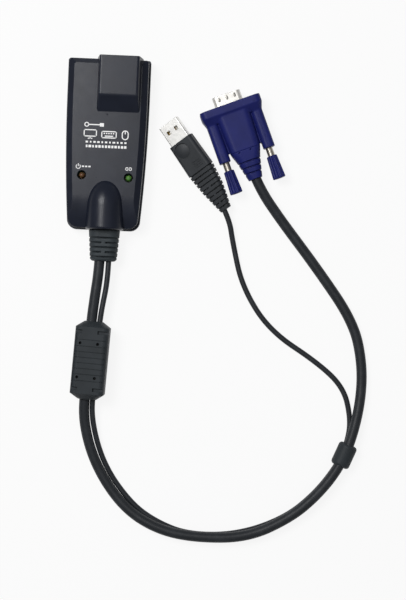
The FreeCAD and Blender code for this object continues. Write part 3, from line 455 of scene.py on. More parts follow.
# ------------------------------------------------------------------ making pieces
class Workshop:
    """Makes, finishes and places pieces, and keeps each finish's one material."""

    def __init__(self) -> None:
        """Start with no materials made."""
        self._materials: Dict[str, bpy.types.Material] = {}

    def material(self, finish: Finish) -> bpy.types.Material:
        """Return a finish's material, made once.

        Args:
            finish: What a piece is made of.

        Returns:
            Its material.
        """
        if finish.name not in self._materials:
            self._materials[finish.name] = finish.material()
        return self._materials[finish.name]

    def dress(self, node: str, finish: Finish) -> bpy.types.Object:
        """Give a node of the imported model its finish.

        Args:
            node: The node's name.
            finish: What it is made of.

        Returns:
            The node's object.
        """
        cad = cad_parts[node]
        if not cad.material_slots:
            cad.data.materials.append(None)
        for slot in cad.material_slots:
            slot.material = self.material(finish)
        return cad

    def piece(self, name: str, mesh: bpy.types.Mesh, finish: Finish, body: Body,
              replaces: Sequence[str] = ()) -> bpy.types.Object:
        """Turn a mesh into a piece of the object.

        Args:
            name: The piece's name.
            mesh: Its mesh, in metres and in place.
            finish: What it is made of.
            body: The body that it moves with.
            replaces: The nodes that it stands for.

        Returns:
            The new object.
        """
        new = bpy.data.objects.new(name, mesh)
        bpy.context.scene.collection.objects.link(new)
        mesh.materials.clear()
        mesh.materials.append(self.material(finish))
        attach(new, body.value)
        if replaces:
            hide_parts(*replaces)
        LOG.info("%s: %d faces", name, len(mesh.polygons))
        return new

    def node_copy(self, node: str, merge_mm: float = 0.002) -> bpy.types.Mesh:
        """Copy a node's mesh with its doubled points merged and its flat faces joined.

        Args:
            node: The node's name.
            merge_mm: Points closer than this become one.

        Returns:
            The clean mesh.
        """
        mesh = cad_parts[node].data.copy()
        work = bmesh.new()
        work.from_mesh(mesh)
        bmesh.ops.remove_doubles(work, verts=work.verts, dist=merge_mm * MM)
        bmesh.ops.dissolve_limit(work, angle_limit=math.radians(FLAT_ANGLE), verts=work.verts,
                                 edges=work.edges)
        work.to_mesh(mesh)
        work.free()
        return mesh

    def baked(self, mesh: bpy.types.Mesh, build: Adder) -> bpy.types.Mesh:
        """Run modifiers over a mesh and return the result as a plain mesh.

        Args:
            mesh: The mesh to start from.
            build: Adds the modifiers to a holder object.

        Returns:
            The finished mesh.
        """
        holder = bpy.data.objects.new("holder", mesh)
        bpy.context.scene.collection.objects.link(holder)
        build(holder)
        evaluated = holder.evaluated_get(bpy.context.evaluated_depsgraph_get())
        result = bpy.data.meshes.new_from_object(evaluated)
        bpy.data.objects.remove(holder)
        return result

    def soft_edges(self, mesh: bpy.types.Mesh, radius_mm: float, angle: float = 32.0,
                   segments: int = 3) -> bpy.types.Mesh:
        """Round a mesh's sharp edges.

        Args:
            mesh: The mesh.
            radius_mm: The rounding.
            angle: Edges sharper than this are rounded.
            segments: Steps in the rounding.

        Returns:
            The rounded mesh, smooth shaded.
        """
        def add(holder: bpy.types.Object) -> None:
            """Add the rounding.

            Args:
                holder: The object that carries the mesh.
            """
            bevel = holder.modifiers.new("soft_edges", "BEVEL")
            bevel.width = radius_mm * MM
            bevel.segments = segments
            bevel.limit_method = "ANGLE"
            bevel.angle_limit = math.radians(angle)
            bevel.use_clamp_overlap = False
            bevel.miter_outer = "MITER_ARC"

        def weigh(holder: bpy.types.Object) -> None:
            """Let wide faces rule the shading at their edges."""
            normals = holder.modifiers.new("normals", "WEIGHTED_NORMAL")
            normals.keep_sharp = True

        low = Vector([min(v.co[axis] for v in mesh.vertices) for axis in range(3)])
        high = Vector([max(v.co[axis] for v in mesh.vertices) for axis in range(3)])
        rounded = self.baked(mesh, add)
        for vertex in rounded.vertices:
            vertex.co = Vector([min(max(vertex.co[axis], low[axis]), high[axis]) for axis in range(3)])
        return self.baked(smooth(rounded, CREASE_ANGLE), weigh)

    def melted(self, mesh: bpy.types.Mesh, voxel_mm: float, passes: int = 4) -> bpy.types.Mesh:
        """Give a moulded piece rounded edges all over by remeshing and relaxing it.

        Args:
            mesh: The mesh.
            voxel_mm: The size of the new faces.
            passes: How often it is relaxed.

        Returns:
            The softened mesh.
        """
        def add(holder: bpy.types.Object) -> None:
            """Add the remesh and the relaxing.

            Args:
                holder: The object that carries the mesh.
            """
            remesh = holder.modifiers.new("remesh", "REMESH")
            remesh.mode = "VOXEL"
            remesh.voxel_size = voxel_mm * MM
            relax = holder.modifiers.new("relax", "SMOOTH")
            relax.factor = 0.5
            relax.iterations = passes

        result = self.baked(mesh, add)
        result.shade_smooth()
        return result


def smooth(mesh: bpy.types.Mesh, angle: float) -> bpy.types.Mesh:
    """Shade a mesh smoothly, but for edges sharper than an angle.

    Args:
        mesh: The mesh.
        angle: The angle in degrees.

    Returns:
        The same mesh.
    """
    mesh.shade_smooth()
    mesh.set_sharp_from_angle(angle=math.radians(angle))
    return mesh


@dataclass(frozen=True)
class Seat:
    """Where a plug lies: its own frame's origin, heading and roll in the module's frame."""

    origin: Point
    heading: float
    roll: float = 0.0

    def matrix(self) -> Matrix:
        """Return the placing from the plug's frame, in metres."""
        return (Matrix.Translation(Vector(self.origin) * MM)
                @ Matrix.Rotation(math.radians(self.heading), 4, "Z")
                @ Matrix.Rotation(math.radians(self.roll), 4, "Y"))


class RepeatTree:
    """A geometry-nodes tree that repeats one shape, and runs it to a plain mesh."""

    def __init__(self, name: str, inputs: Sequence[Tuple[str, str]]) -> None:
        """Make the tree with its named inputs.

        Args:
            name: The tree's name.
            inputs: Pairs of input name and socket type.
        """
        self.tree = bpy.data.node_groups.new(name, "GeometryNodeTree")
        for label, kind in inputs:
            self.tree.interface.new_socket(name=label, in_out="INPUT", socket_type=kind)
        self.tree.interface.new_socket(name="Geometry", in_out="OUTPUT",
                                       socket_type="NodeSocketGeometry")
        self.start = self.tree.nodes.new("NodeGroupInput")
        self.end = self.tree.nodes.new("NodeGroupOutput")

    def node(self, kind: str, **properties: object) -> bpy.types.Node:
        """Add a node.

        Args:
            kind: The node's type name.
            properties: Its properties by name.

        Returns:
            The new node.
        """
        new = self.tree.nodes.new(kind)
        for key, value in properties.items():
            setattr(new, key, value)
        return new

    def join(self, source: bpy.types.NodeSocket, target: bpy.types.NodeSocket) -> None:
        """Link one socket to another."""
        self.tree.links.new(source, target)

    def close(self, geometry: bpy.types.NodeSocket) -> None:
        """End the tree with real geometry and its material.

        Args:
            geometry: The instances to end with.
        """
        realize = self.node("GeometryNodeRealizeInstances")
        paint = self.node("GeometryNodeSetMaterial")
        self.join(geometry, realize.inputs["Geometry"])
        self.join(realize.outputs["Geometry"], paint.inputs["Geometry"])
        self.join(self.start.outputs["Material"], paint.inputs["Material"])
        self.join(paint.outputs["Geometry"], self.end.inputs["Geometry"])

    def run(self, shop: Workshop, values: Dict[str, object]) -> bpy.types.Mesh:
        """Run the tree.

        Args:
            shop: The workshop that bakes it.
            values: The inputs by name.

        Returns:
            The result as a plain mesh.
        """
        sockets = {item.name: item.identifier for item in self.tree.interface.items_tree
                   if item.in_out == "INPUT"}

        def add(holder: bpy.types.Object) -> None:
            """Add the tree with its values.

            Args:
                holder: The object that carries the result.
            """
            modifier = holder.modifiers.new("repeat", "NODES")
            modifier.node_group = self.tree
            for label, value in values.items():
                modifier[sockets[label]] = value

        return shop.baked(bpy.data.meshes.new("repeated"), add)

    def row(self, shop: Workshop, shape: bpy.types.Mesh, count: int, start: Point, pitch: Point,
            finish: Finish, least: Point = EVEN, most: Point = EVEN, seed: int = 1) -> bpy.types.Mesh:
        """Repeat a shape along a straight line.

        Args:
            shop: The workshop that bakes it.
            shape: The shape's mesh.
            count: How many copies there are.
            start: The first copy's place, in millimetres.
            pitch: The way from one copy to the next, in millimetres.
            finish: What the copies are made of.
            least: The smallest scale along each axis.
            most: The largest scale along each axis.
            seed: The fixed seed that picks the scales.

        Returns:
            The row as a plain mesh.
        """
        die = bpy.data.objects.new("die", shape)
        result = self.run(shop, {"Shape": die, "Count": count, "Start": Vector(start) * MM,
                                 "Step": Vector(pitch) * MM, "Least": least, "Most": most,
                                 "Seed": seed, "Material": shop.material(finish)})
        bpy.data.objects.remove(die)
        return result


def line_tree() -> RepeatTree:
    """Build the tree that repeats a shape along a straight line, with random lengths if asked.

    Returns:
        The tree, with its inputs named for RepeatTree.row.
    """
    tree = RepeatTree("along_a_line", [("Shape", "NodeSocketObject"), ("Count", "NodeSocketInt"),
                                       ("Start", "NodeSocketVector"), ("Step", "NodeSocketVector"),
                                       ("Least", "NodeSocketVector"), ("Most", "NodeSocketVector"),
                                       ("Seed", "NodeSocketInt"), ("Material", "NodeSocketMaterial")])
    line = tree.node("GeometryNodeMeshLine", mode="OFFSET")
    shape = tree.node("GeometryNodeObjectInfo")
    spread = tree.node("FunctionNodeRandomValue", data_type="FLOAT_VECTOR")
    place = tree.node("GeometryNodeInstanceOnPoints")
    for label, socket in (("Count", line.inputs["Count"]), ("Start", line.inputs["Start Location"]),
                          ("Step", line.inputs["Offset"]), ("Shape", shape.inputs["Object"]),
                          ("Least", spread.inputs["Min"]), ("Most", spread.inputs["Max"]),
                          ("Seed", spread.inputs["Seed"])):
        tree.join(tree.start.outputs[label], socket)
    tree.join(line.outputs["Mesh"], place.inputs["Points"])
    tree.join(shape.outputs["Geometry"], place.inputs["Instance"])
    tree.join(spread.outputs["Value"], place.inputs["Scale"])
    tree.close(place.outputs["Instances"])
    return tree


def plain_ring(y: float, radius: float) -> Ring:
    """Give a round ring for turned()."""
    return (y, lambda angle: radius)


def turned(rings: Sequence[Ring], steps: int) -> bpy.types.Mesh:
    """Build a form about the y axis whose radius may change round the axis.

    Args:
        rings: Pairs of y and the radius at an angle, in millimetres; a zero radius closes the end.
        steps: Faces round the axis.

    Returns:
        The form's mesh, in metres.
    """
    work = bmesh.new()
    loops = []
    for y, radius in rings:
        count = 1 if radius(0.0) == 0 else steps
        loops.append([])
        for i in range(count):
            angle = 2 * math.pi * i / steps
            out = radius(angle)
            place = Vector((out * math.cos(angle), y, out * math.sin(angle)))
            loops[-1].append(work.verts.new(place * MM))
    for one, two in zip(loops, loops[1:]):
        for i in range(steps):
            j = (i + 1) % steps
            corners = [one[i % len(one)], one[j % len(one)], two[j % len(two)], two[i % len(two)]]
            unique = [v for k, v in enumerate(corners) if v not in corners[:k]]
            if len(unique) > 2:
                work.faces.new(unique)
    bmesh.ops.recalc_face_normals(work, faces=work.faces)
    mesh = bpy.data.meshes.new("turned")
    work.to_mesh(mesh)
    work.free()
    return mesh


def lathe(profile: Sequence[Pair], steps: int) -> bpy.types.Mesh:
    """Turn a profile, as pairs of y and radius in millimetres, about the y axis."""
    return turned([plain_ring(y, radius) for y, radius in profile], steps)


def joined(meshes: Sequence[bpy.types.Mesh], place: Matrix = Matrix.Identity(4)) -> bpy.types.Mesh:
    """Put several meshes into one and move it into place.

    Args:
        meshes: The meshes.
        place: The move applied to the points.

    Returns:
        The joined mesh.
    """
    work = bmesh.new()
    for mesh in meshes:
        work.from_mesh(mesh)
    result = bpy.data.meshes.new("joined")
    work.to_mesh(result)
    work.free()
    result.transform(place)
    return result


def block(low: Point, high: Point) -> bpy.types.Mesh:
    """Make a plain block.

    Args:
        low: Its low corner, in millimetres.
        high: Its high corner, in millimetres.

    Returns:
        The block's mesh, in metres.
    """
    work = bmesh.new()
    bmesh.ops.create_cube(work, size=1.0)
    size = (Vector(high) - Vector(low)) * MM
    middle = (Vector(high) + Vector(low)) / 2 * MM
    bmesh.ops.transform(work, matrix=Matrix.Translation(middle) @ Matrix.Diagonal(size.to_4d()),
                        verts=work.verts)
    mesh = bpy.data.meshes.new("block")
    work.to_mesh(mesh)
    work.free()
    return mesh


# ------------------------------------------------------------------ module
@dataclass
class PrintedMarks:
    """Generic marks on the module's panel: device signs, plain bars and lamp symbols.

    A box is x from and to, then y from and to.
    """

    surface_z: float = 15.5
    thickness: float = 0.025
    stroke: float = 0.55
    arc_step: float = 9.0
    signs_at: Pair = (-12.0, 1.9)
    screen: Box = (0.0, 7.2, 1.2, 5.2)
    screen_foot: Pair = (2.4, 4.8)
    screen_post: Box = (3.3, 3.9, 0.0, 1.4)
    keyboard: Box = (9.6, 18.0, 0.6, 4.6)
    first_key: Box = (10.9, 11.6, 2.9, 3.6)
    key_pitch: float = 1.25
    key_count: int = 5
    space_bar: Box = (11.5, 16.1, 1.5, 2.1)
    pointer_x: float = 22.6
    pointer_ends: Pair = (1.9, 3.4)
    pointer_radius: float = 1.6
    pointer_sides: Tuple[Box, ...] = ((20.73, 21.27, 1.9, 3.4), (23.93, 24.47, 1.9, 3.4))
    pointer_wheel: Box = (22.35, 22.85, 3.2, 4.7)
    plug_ring_at: Pair = (-10.5, 9.7)
    plug_ring_radius: float = 1.05
    plug_ring_stroke: float = 0.5
    plug_wire: Box = (-9.3, -3.4, 9.4, 10.0)
    plug_head: Box = (-3.4, -1.2, 8.75, 10.65)
    power_at: Pair = (-14.2, -13.3)
    power_radius: float = 1.15
    power_stroke: float = 0.38
    power_bar: Pair = (0.15, 1.6)
    link_at: Pair = (13.2, -13.7)
    link_offset: float = 0.85
    link_radius: float = 0.75
    link_stroke: float = 0.36
    link_bar: float = 0.8
    caption: Box = (-12.2, -11.0, -13.6, -12.8)
    caption_pitch: float = 1.75
    caption_count: int = 3
    dashes_at: Pair = (-10.1, 0.3)
    dash_row_drop: float = 2.35
    dash_rows: Tuple[Tuple[int, float, float], ...] = ((11, 2.1, 0.9), (13, 1.75, 1.3))
    dash_widths: Pair = (0.8, 1.5)
    dash_height_swing: float = 0.1
    dash_seed: int = 4

    def bar(self, x0: float, x1: float, y0: float, y1: float) -> bpy.types.Mesh:
        """Make one flat bar between two corners, in millimetres."""
        return block((x0, y0, self.surface_z), (x1, y1, self.surface_z + self.thickness))

    def bar_at(self, box: Box, x: float, y: float) -> bpy.types.Mesh:
        """Make one flat bar from a box that counts from a sign's corner."""
        return self.bar(x + box[0], x + box[1], y + box[2], y + box[3])

    def frame_at(self, box: Box, x: float, y: float) -> List[bpy.types.Mesh]:
        """Make an open rectangle from four bars.

        Args:
            box: The rectangle, counted from the sign's corner.
            x: The corner's x.
            y: The corner's y.

        Returns:
            The four bars.
        """
        x0, x1, y0, y1 = x + box[0], x + box[1], y + box[2], y + box[3]
        s = self.stroke
        return [self.bar(x0, x1, y0, y0 + s), self.bar(x0, x1, y1 - s, y1),
                self.bar(x0, x0 + s, y0, y1), self.bar(x1 - s, x1, y0, y1)]

    def arc(self, x: float, y: float, radius: float, start: float, end: float,
            stroke: float) -> bpy.types.Mesh:
        """Make a flat arc.

        Args:
            x: The centre's x.
            y: The centre's y.
            radius: The radius of the stroke's middle.
            start: The angle that it starts at, in degrees.
            end: The angle that it ends at, in degrees.
            stroke: The stroke's width.

        Returns:
            The arc's mesh, in metres.
        """
        steps = max(4, int(abs(end - start) / self.arc_step))
        work = bmesh.new()
        middle = Vector((x, y, self.surface_z + self.thickness))
        pairs = []
        for i in range(steps + 1):
            a = math.radians(start + (end - start) * i / steps)
            way = Vector((math.cos(a), math.sin(a), 0))
            pairs.append([work.verts.new((middle + way * (radius + side * stroke / 2)) * MM)
                          for side in (-1, 1)])
        for one, two in zip(pairs, pairs[1:]):
            work.faces.new([one[0], two[0], two[1], one[1]])
        down = bmesh.ops.extrude_face_region(work, geom=work.faces[:])
        moved = [v for v in down["geom"] if isinstance(v, bmesh.types.BMVert)]
        bmesh.ops.translate(work, verts=moved, vec=(0, 0, -self.thickness * MM))
        bmesh.ops.recalc_face_normals(work, faces=work.faces)
        mesh = bpy.data.meshes.new("arc")
        work.to_mesh(mesh)
        work.free()
        return mesh

    def device_signs(self) -> List[bpy.types.Mesh]:
        """Make the row of a screen, a keyboard and a pointer, about 25 mm long and 5 mm high.

        Returns:
            The parts of the three signs.
        """
        x, y = self.signs_at
        screen = self.frame_at(self.screen, x, y) + [
            self.bar_at(self.screen_foot + (0.0, self.stroke), x, y), self.bar_at(self.screen_post, x, y)]
        keyboard = self.frame_at(self.keyboard, x, y)
        left, right, low, high = self.first_key
        for i in range(self.key_count):
            shift = i * self.key_pitch
            keyboard.append(self.bar_at((left + shift, right + shift, low, high), x, y))
        keyboard.append(self.bar_at(self.space_bar, x, y))
        centre, (low, high) = x + self.pointer_x, self.pointer_ends
        pointer = [self.arc(centre, y + high, self.pointer_radius, 0, 180, self.stroke),
                   self.arc(centre, y + low, self.pointer_radius, 180, 360, self.stroke)]
        pointer += [self.bar_at(side, x, y) for side in self.pointer_sides]
        pointer.append(self.bar_at(self.pointer_wheel, x, y))
        return screen + keyboard + pointer

    def plug_sign(self) -> List[bpy.types.Mesh]:
        """Make a small plug: a ring, a wire and a head."""
        return [self.arc(*self.plug_ring_at, self.plug_ring_radius, 0, 360, self.plug_ring_stroke),
                self.bar(*self.plug_wire), self.bar(*self.plug_head)]

    def power_sign(self) -> List[bpy.types.Mesh]:
        """Make the usual sign for power: a broken ring and a bar."""
        (x, y), half = self.power_at, self.power_stroke / 2
        return [self.arc(x, y, self.power_radius, 130, 410, self.power_stroke),
                self.bar(x - half, x + half, y + self.power_bar[0], y + self.power_bar[1])]

    def link_sign(self) -> List[bpy.types.Mesh]:
        """Make two joined loops.

        Returns:
            The parts of the sign.
        """
        (x, y), half = self.link_at, self.link_stroke / 2
        return [self.arc(x - self.link_offset, y, self.link_radius, 40, 320, self.link_stroke),
                self.arc(x + self.link_offset, y, self.link_radius, -140, 140, self.link_stroke),
                self.bar(x - self.link_bar, x + self.link_bar, y - half, y + half)]

    def captions(self) -> List[bpy.types.Mesh]:
        """Make the few short bars beside the power sign."""
        left, right, low, high = self.caption
        return [self.bar(left + i * self.caption_pitch, right + i * self.caption_pitch, low, high)
                for i in range(self.caption_count)]

    def dashes(self, shop: Workshop) -> List[bpy.types.Mesh]:
        """Make the two rows of dashes under the device signs.

        Args:
            shop: The workshop.

        Returns:
            One mesh for each row.
        """
        dash = self.bar(-0.5, 0.5, -0.5, 0.5)
        dash.transform(Matrix.Translation((0, 0, -self.surface_z * MM)))
        tree = line_tree()
        (x, y), (narrow, wide) = self.dashes_at, self.dash_widths
        rows = []
        for row, (count, pitch, height) in enumerate(self.dash_rows):
            rows.append(tree.row(
                shop, dash, count, (x, y - row * self.dash_row_drop, self.surface_z), (pitch, 0, 0),
                WHITE_INK, (narrow, height, 1.0), (wide, height + self.dash_height_swing, 1.0),
                self.dash_seed + row))
        return rows

    def build(self, shop: Workshop) -> bpy.types.Object:
        """Build all the marks as one piece.

        Args:
            shop: The workshop.

        Returns:
            The marks' object.
        """
        marks = (self.device_signs() + self.plug_sign() + self.power_sign() + self.link_sign()
                 + self.captions() + self.dashes(shop))
        return shop.piece("panel_marks", joined(marks), WHITE_INK, Body.ADAPTER)


@dataclass(frozen=True)
class PanelLamp:
    """One lamp of the panel: its node, its place, its finish and its material slot."""

    node: str
    x: float
    y: float
    finish: Lamp
    slot: str


@dataclass
class Module:
    """The housing, its lamps and what shows through its jack opening."""

    lamps: Tuple[PanelLamp, ...] = (PanelLamp("power_led", -12.2, -17.8, LAMP_AMBER, "led_amber"),
                                    PanelLamp("link_led", 13.3, -18.5, LAMP_GREEN, "led_green"))
    lamp_radius: float = 1.55
    lamp_flange: float = 1.9
    lamp_flange_height: float = 1.0
    lamp_flange_edge: float = 0.1
    lamp_dome_step: int = 10
    lamp_steps: int = 40
    jack_edge: float = 0.2
    plain_nodes: Tuple[Tuple[str, Finish], ...] = (
        ("top_cover", MODULE_BLACK), ("bottom_cover", MODULE_BLACK), ("circuit_board", GREEN_BOARD),
        ("jack_contacts", GOLD), ("led_leads", STEEL), ("crystal", NICKEL),
        ("controller_chip", CHIP_BLACK), ("video_chip", CHIP_BLACK), ("capacitors", CHIP_BLACK),
        ("video_header", NYLON_WHITE), ("data_header", NYLON_WHITE), ("video_wire_plug", NYLON_WHITE),
        ("data_wire_plug", NYLON_WHITE), ("video_wires", WIRE_RED), ("data_wires", WIRE_WHITE),
        ("housing_screws", STEEL))

    def lamp(self, shop: Workshop, lamp: PanelLamp) -> None:
        """Build one lamp with a smooth dome and its flange.

        Args:
            shop: The workshop.
            lamp: Which lamp.
        """
        low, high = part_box(lamp.node)
        base, top = low.z / MM, high.z / MM
        dome = []
        for degrees in range(0, 90, self.lamp_dome_step):
            a = math.radians(degrees)
            dome.append((top - self.lamp_radius * (1 - math.sin(a)), self.lamp_radius * math.cos(a)))
        edge, tall = self.lamp_flange_edge, self.lamp_flange_height
        inner = self.lamp_flange - edge
        flange = [(base, 0), (base, inner), (base + edge, self.lamp_flange),
                  (base + tall - edge, self.lamp_flange), (base + tall, inner),
                  (base + tall, self.lamp_radius)]
        mesh = lathe(flange + dome + [(top, 0)], self.lamp_steps)
        upright = Matrix.Rotation(math.radians(90), 4, "X")
        mesh.transform(Matrix.Translation((lamp.x * MM, lamp.y * MM, 0)) @ upright)
        shop.piece(f"{lamp.node}_lens", smooth(mesh, CREASE_ANGLE), lamp.finish,
                   Body.ADAPTER, [lamp.node])

    def build(self, shop: Workshop) -> None:
        """Build and dress the whole module.

        Args:
            shop: The workshop.
        """
        for lamp in self.lamps:
            self.lamp(shop, lamp)
        jack = shop.soft_edges(shop.node_copy("network_jack"), self.jack_edge)
        shop.piece("network_jack_body", jack, JACK_BLACK, Body.ADAPTER, ["network_jack"])
        for node, finish in self.plain_nodes:
            shop.dress(node, finish)
        PrintedMarks().build(shop)


# ------------------------------------------------------------------ things on the cords
@dataclass
class CordFittings:
    """The module's strain relief, the ferrite overmould and the split ring."""

    relief_voxel: float = 0.22
    ring_voxel: float = 0.25

    def build(self, shop: Workshop) -> List[bpy.types.Object]:
        """Build the three pieces.

        Args:
            shop: The workshop.

        Returns:
            The three pieces and the ferrite core.
        """
        relief = shop.melted(shop.node_copy("strain_relief"), self.relief_voxel)
        ring = shop.melted(shop.node_copy("split_ring"), self.ring_voxel)
        return [
            shop.piece("module_strain_relief", relief, RELIEF_GREY, Body.ADAPTER,
                       ["strain_relief"]),
            shop.piece("cord_ring", ring, OVERMOULD_GREY, Body.ADAPTER, ["split_ring"]),
            shop.dress("ferrite_overmould", OVERMOULD_GREY), shop.dress("ferrite_core", FERRITE_GREY)]


@dataclass
class Cord:
    """One free cord: its points in millimetres, from the module to its plug."""

    name: str
    node: str
    diameter: float
    length: float
    route: Tuple[Point, ...]
    round_steps: int = 8
    bend_steps: int = 14

    def build(self, shop: Workshop, pieces: Sequence[bpy.types.Object]) -> bpy.types.Object:
        """Args:
            shop: The workshop.
            pieces: What is on the cord; not used.

        Returns:
            The cord's curve object.
        """
        curve = bpy.data.curves.new(self.name, "CURVE")
        curve.dimensions = "3D"
        curve.bevel_depth = self.diameter / 2 * MM
        curve.bevel_resolution = self.round_steps
        curve.resolution_u = self.bend_steps
        curve.use_fill_caps = True
        spline = curve.splines.new("NURBS")
        spline.points.add(len(self.route) - 1)
        for point, place in zip(spline.points, self.route):
            point.co = (Vector(place) * MM).to_4d()
        spline.order_u = 3
        spline.use_endpoint_u = True
        spline.use_smooth = True
        curve.materials.append(shop.material(CORD_BLACK))
        cord = bpy.data.objects.new(self.name, curve)
        bpy.context.scene.collection.objects.link(cord)
        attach(cord, Body.ADAPTER.value)
        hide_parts(self.node)
        LOG.info("%s: %.0f mm long", self.name, self.length)
        return cord


VIDEO_CORD = Cord("video_cord_sheath", "vga_cord", 5.7, 473.0, (
    (-0.9, -54.0, 8.5), (-0.9, -68.0, 8.5), (-3.3, -88.0, 8.5), (-4.7, -106.0, 8.5),
    (-6.0, -134.0, 8.5), (-6.5, -153.5, 5.7), (1.2, -177.5, 2.9), (17.4, -199.5, 3.5),
    (37.0, -210.5, 5.9), (59.0, -214.0, 6.3), (87.0, -212.5, 6.3), (110.0, -200.5, 6.3),
    (123.5, -188.0, 6.8), (134.0, -174.0, 7.3), (141.0, -158.0, 7.2), (146.0, -135.5, 3.9),
    (146.0, -114.0, 2.9), (140.0, -91.5, 2.9), (118.0, -62.0, 2.9), (97.5, -37.0, 3.6),
    (84.5, -19.8, 7.5), (80.0, -8.7, 7.5)))
DATA_CORD = Cord("data_cord_sheath", "usb_cord", 3.0, 457.0, (
    (3.9, -54.0, 8.5), (4.3, -72.5, 8.5), (0.8, -93.0, 8.5), (-0.3, -110.0, 8.5),
    (-1.5, -134.0, 8.5), (-2.15, -151.8, 5.0), (5.62, -176.95, 1.5), (21.45, -197.35, 1.5),
    (36.0, -207.0, 1.5), (54.0, -213.2, 1.5), (81.0, -212.0, 1.5), (106.5, -202.0, 1.5),
    (123.0, -187.5, 2.0), (135.0, -170.5, 2.7), (140.0, -157.0, 2.6), (141.0, -145.0, 1.5),
    (136.5, -128.5, 1.5), (122.0, -115.5, 1.5), (94.0, -98.5, 1.5), (78.0, -75.0, 1.5),
    (71.8, -51.0, 2.2), (69.1, -37.3, 5.8), (62.6, -26.6, 5.8)))


# ------------------------------------------------------------------ video plug
@dataclass
class VideoPlug:
    """The blue plug: hood, tail, D shell, pins and two thumbscrews.

    The rings near the knob's ends hold their distance from that end, how far the rounding draws
    them in, and their share of the flutes' depth.
    """

    seat: Seat = Seat((66.5, 24.7, 7.5), 22.0)
    hood_voxel: float = 0.3
    hood_passes: int = 5
    tail_voxel: float = 0.2
    shell_edge: float = 0.12
    shaft_edge: float = 0.15
    edge_steps: int = 2
    screw_pitch: float = 25.0
    knob_front: float = -34.3
    knob_length: float = 13.0
    knob_front_radius: float = 3.0
    knob_rear_radius: float = 3.7
    knob_bore: float = 1.96
    knob_grip_depth: float = 8.0
    knob_front_rings: Tuple[Point, ...] = (
        (0.0, 0.5, 0.0), (0.2, 0.15, 0.2), (0.5, 0.0, 0.7), (1.1, 0.0, 1.0))
    knob_middle_shares: Tuple[float, ...] = (0.3, 0.5, 0.7, 0.9)
    knob_rear_rings: Tuple[Point, ...] = ((0.5, 0.0, 1.0), (0.2, 0.12, 0.9), (0.0, 0.5, 0.7))
    recess_radii: Pair = (2.1, 1.9)
    recess_depth: float = 0.7
    flute_count: int = 8
    flute_steps: int = 16
    flute_depth: float = 0.6
    flute_narrowing: float = 1.5
    pin_radius: float = 0.4
    pin_pitch: float = 2.29
    pin_row_pitch: float = 1.98
    pin_row_count: int = 5
    pin_length: float = 5.0
    pin_tail: float = 3.8
    pin_tip_angles: Tuple[int, ...] = (0, 30, 60)
    pin_steps: int = 14
    shell_top: float = 4.1
    dimple_start: Pair = (-4.6, 3.7)
    dimple_pitch: float = 4.4
    dimple_count: int = 3
    dimple_radius: float = 0.95
    dimple_stretch: float = 1.6
    dimple_rise: float = 0.16
    dimple_shoulder: Pair = (0.6, 0.8)
    dimple_crown: float = 0.4
    dimple_steps: int = 20

    def knob_ring(self, y: float, inset: float, flute: float) -> Ring:
        """Give one ring of the knob's outside.

        Args:
            y: The ring's place along the axis.
            inset: How far the rounded end draws it in.
            flute: How much of the flutes' depth it has, from 0 to 1.

        Returns:
            The ring for turned().
        """
        share = (self.knob_front - y) / self.knob_length
        radius = self.knob_front_radius + share * (self.knob_rear_radius - self.knob_front_radius) - inset

        def at(angle: float) -> float:
            """The radius at one angle: broad lobes with narrower grooves between."""
            groove = (0.5 + 0.5 * math.cos(self.flute_count * angle)) ** self.flute_narrowing
            return radius - flute * self.flute_depth * groove

        return (y, at)

    def knob(self, shop: Workshop, side: int, node: str, body: Body) -> bpy.types.Object:
        """Build one fluted, tapering knob with its bore and its driver recess.

        Args:
            shop: The workshop.
            side: -1 for the left knob and 1 for the right one.
            node: The node that it stands for.
            body: The body that it moves with.

        Returns:
            The knob's object.
        """
        front, back = self.knob_front, self.knob_front - self.knob_length
        bore_end, recess_end = front - self.knob_grip_depth, back + self.recess_depth
        rings = [plain_ring(bore_end, 0.0), plain_ring(bore_end, self.knob_bore),
                 plain_ring(front, self.knob_bore)]
        rings += [self.knob_ring(front - y, inset, flute) for y, inset, flute in self.knob_front_rings]
        rings += [self.knob_ring(front - self.knob_length * share, 0.0, 1.0)
                  for share in self.knob_middle_shares]
        rings += [self.knob_ring(back + y, inset, flute) for y, inset, flute in self.knob_rear_rings]
        rings += [plain_ring(back, self.recess_radii[0]), plain_ring(recess_end, self.recess_radii[1]),
                  plain_ring(recess_end, 0.0)]
        mesh = turned(rings, self.flute_steps * self.flute_count)
        mesh.transform(self.seat.matrix() @ Matrix.Translation((side * self.screw_pitch / 2 * MM, 0, 0)))
        return shop.piece(f"{node}_grip", smooth(mesh, STEEP_CREASE_ANGLE), HOOD_BLUE, body,
                          [node])

    def pins(self, shop: Workshop) -> bpy.types.Object:
        """Build the three rows of pins.

        Args:
            shop: The workshop.

        Returns:
            The pins' object.
        """
        tree = line_tree()
        r = self.pin_radius
        profile = [(-self.pin_tail, 0), (-self.pin_tail, r)]
        for degrees in self.pin_tip_angles:
            a = math.radians(degrees)
            profile.append((self.pin_length - r * (1 - math.sin(a)), r * math.cos(a)))
        pin = lathe(profile + [(self.pin_length, 0)], self.pin_steps)
        rows = []
        for row in (-1, 0, 1):
            shift = self.pin_pitch / 4 * (1 if row == 0 else -1)
            start = (shift - (self.pin_row_count - 1) / 2 * self.pin_pitch, 0, row * self.pin_row_pitch)
            rows.append(tree.row(shop, pin, self.pin_row_count, start, (self.pin_pitch, 0, 0), GOLD))
        mesh = smooth(joined(rows, self.seat.matrix()), STEEP_CREASE_ANGLE)
        return shop.piece("video_pins", mesh, GOLD, Body.ADAPTER, ["vga_pins"])

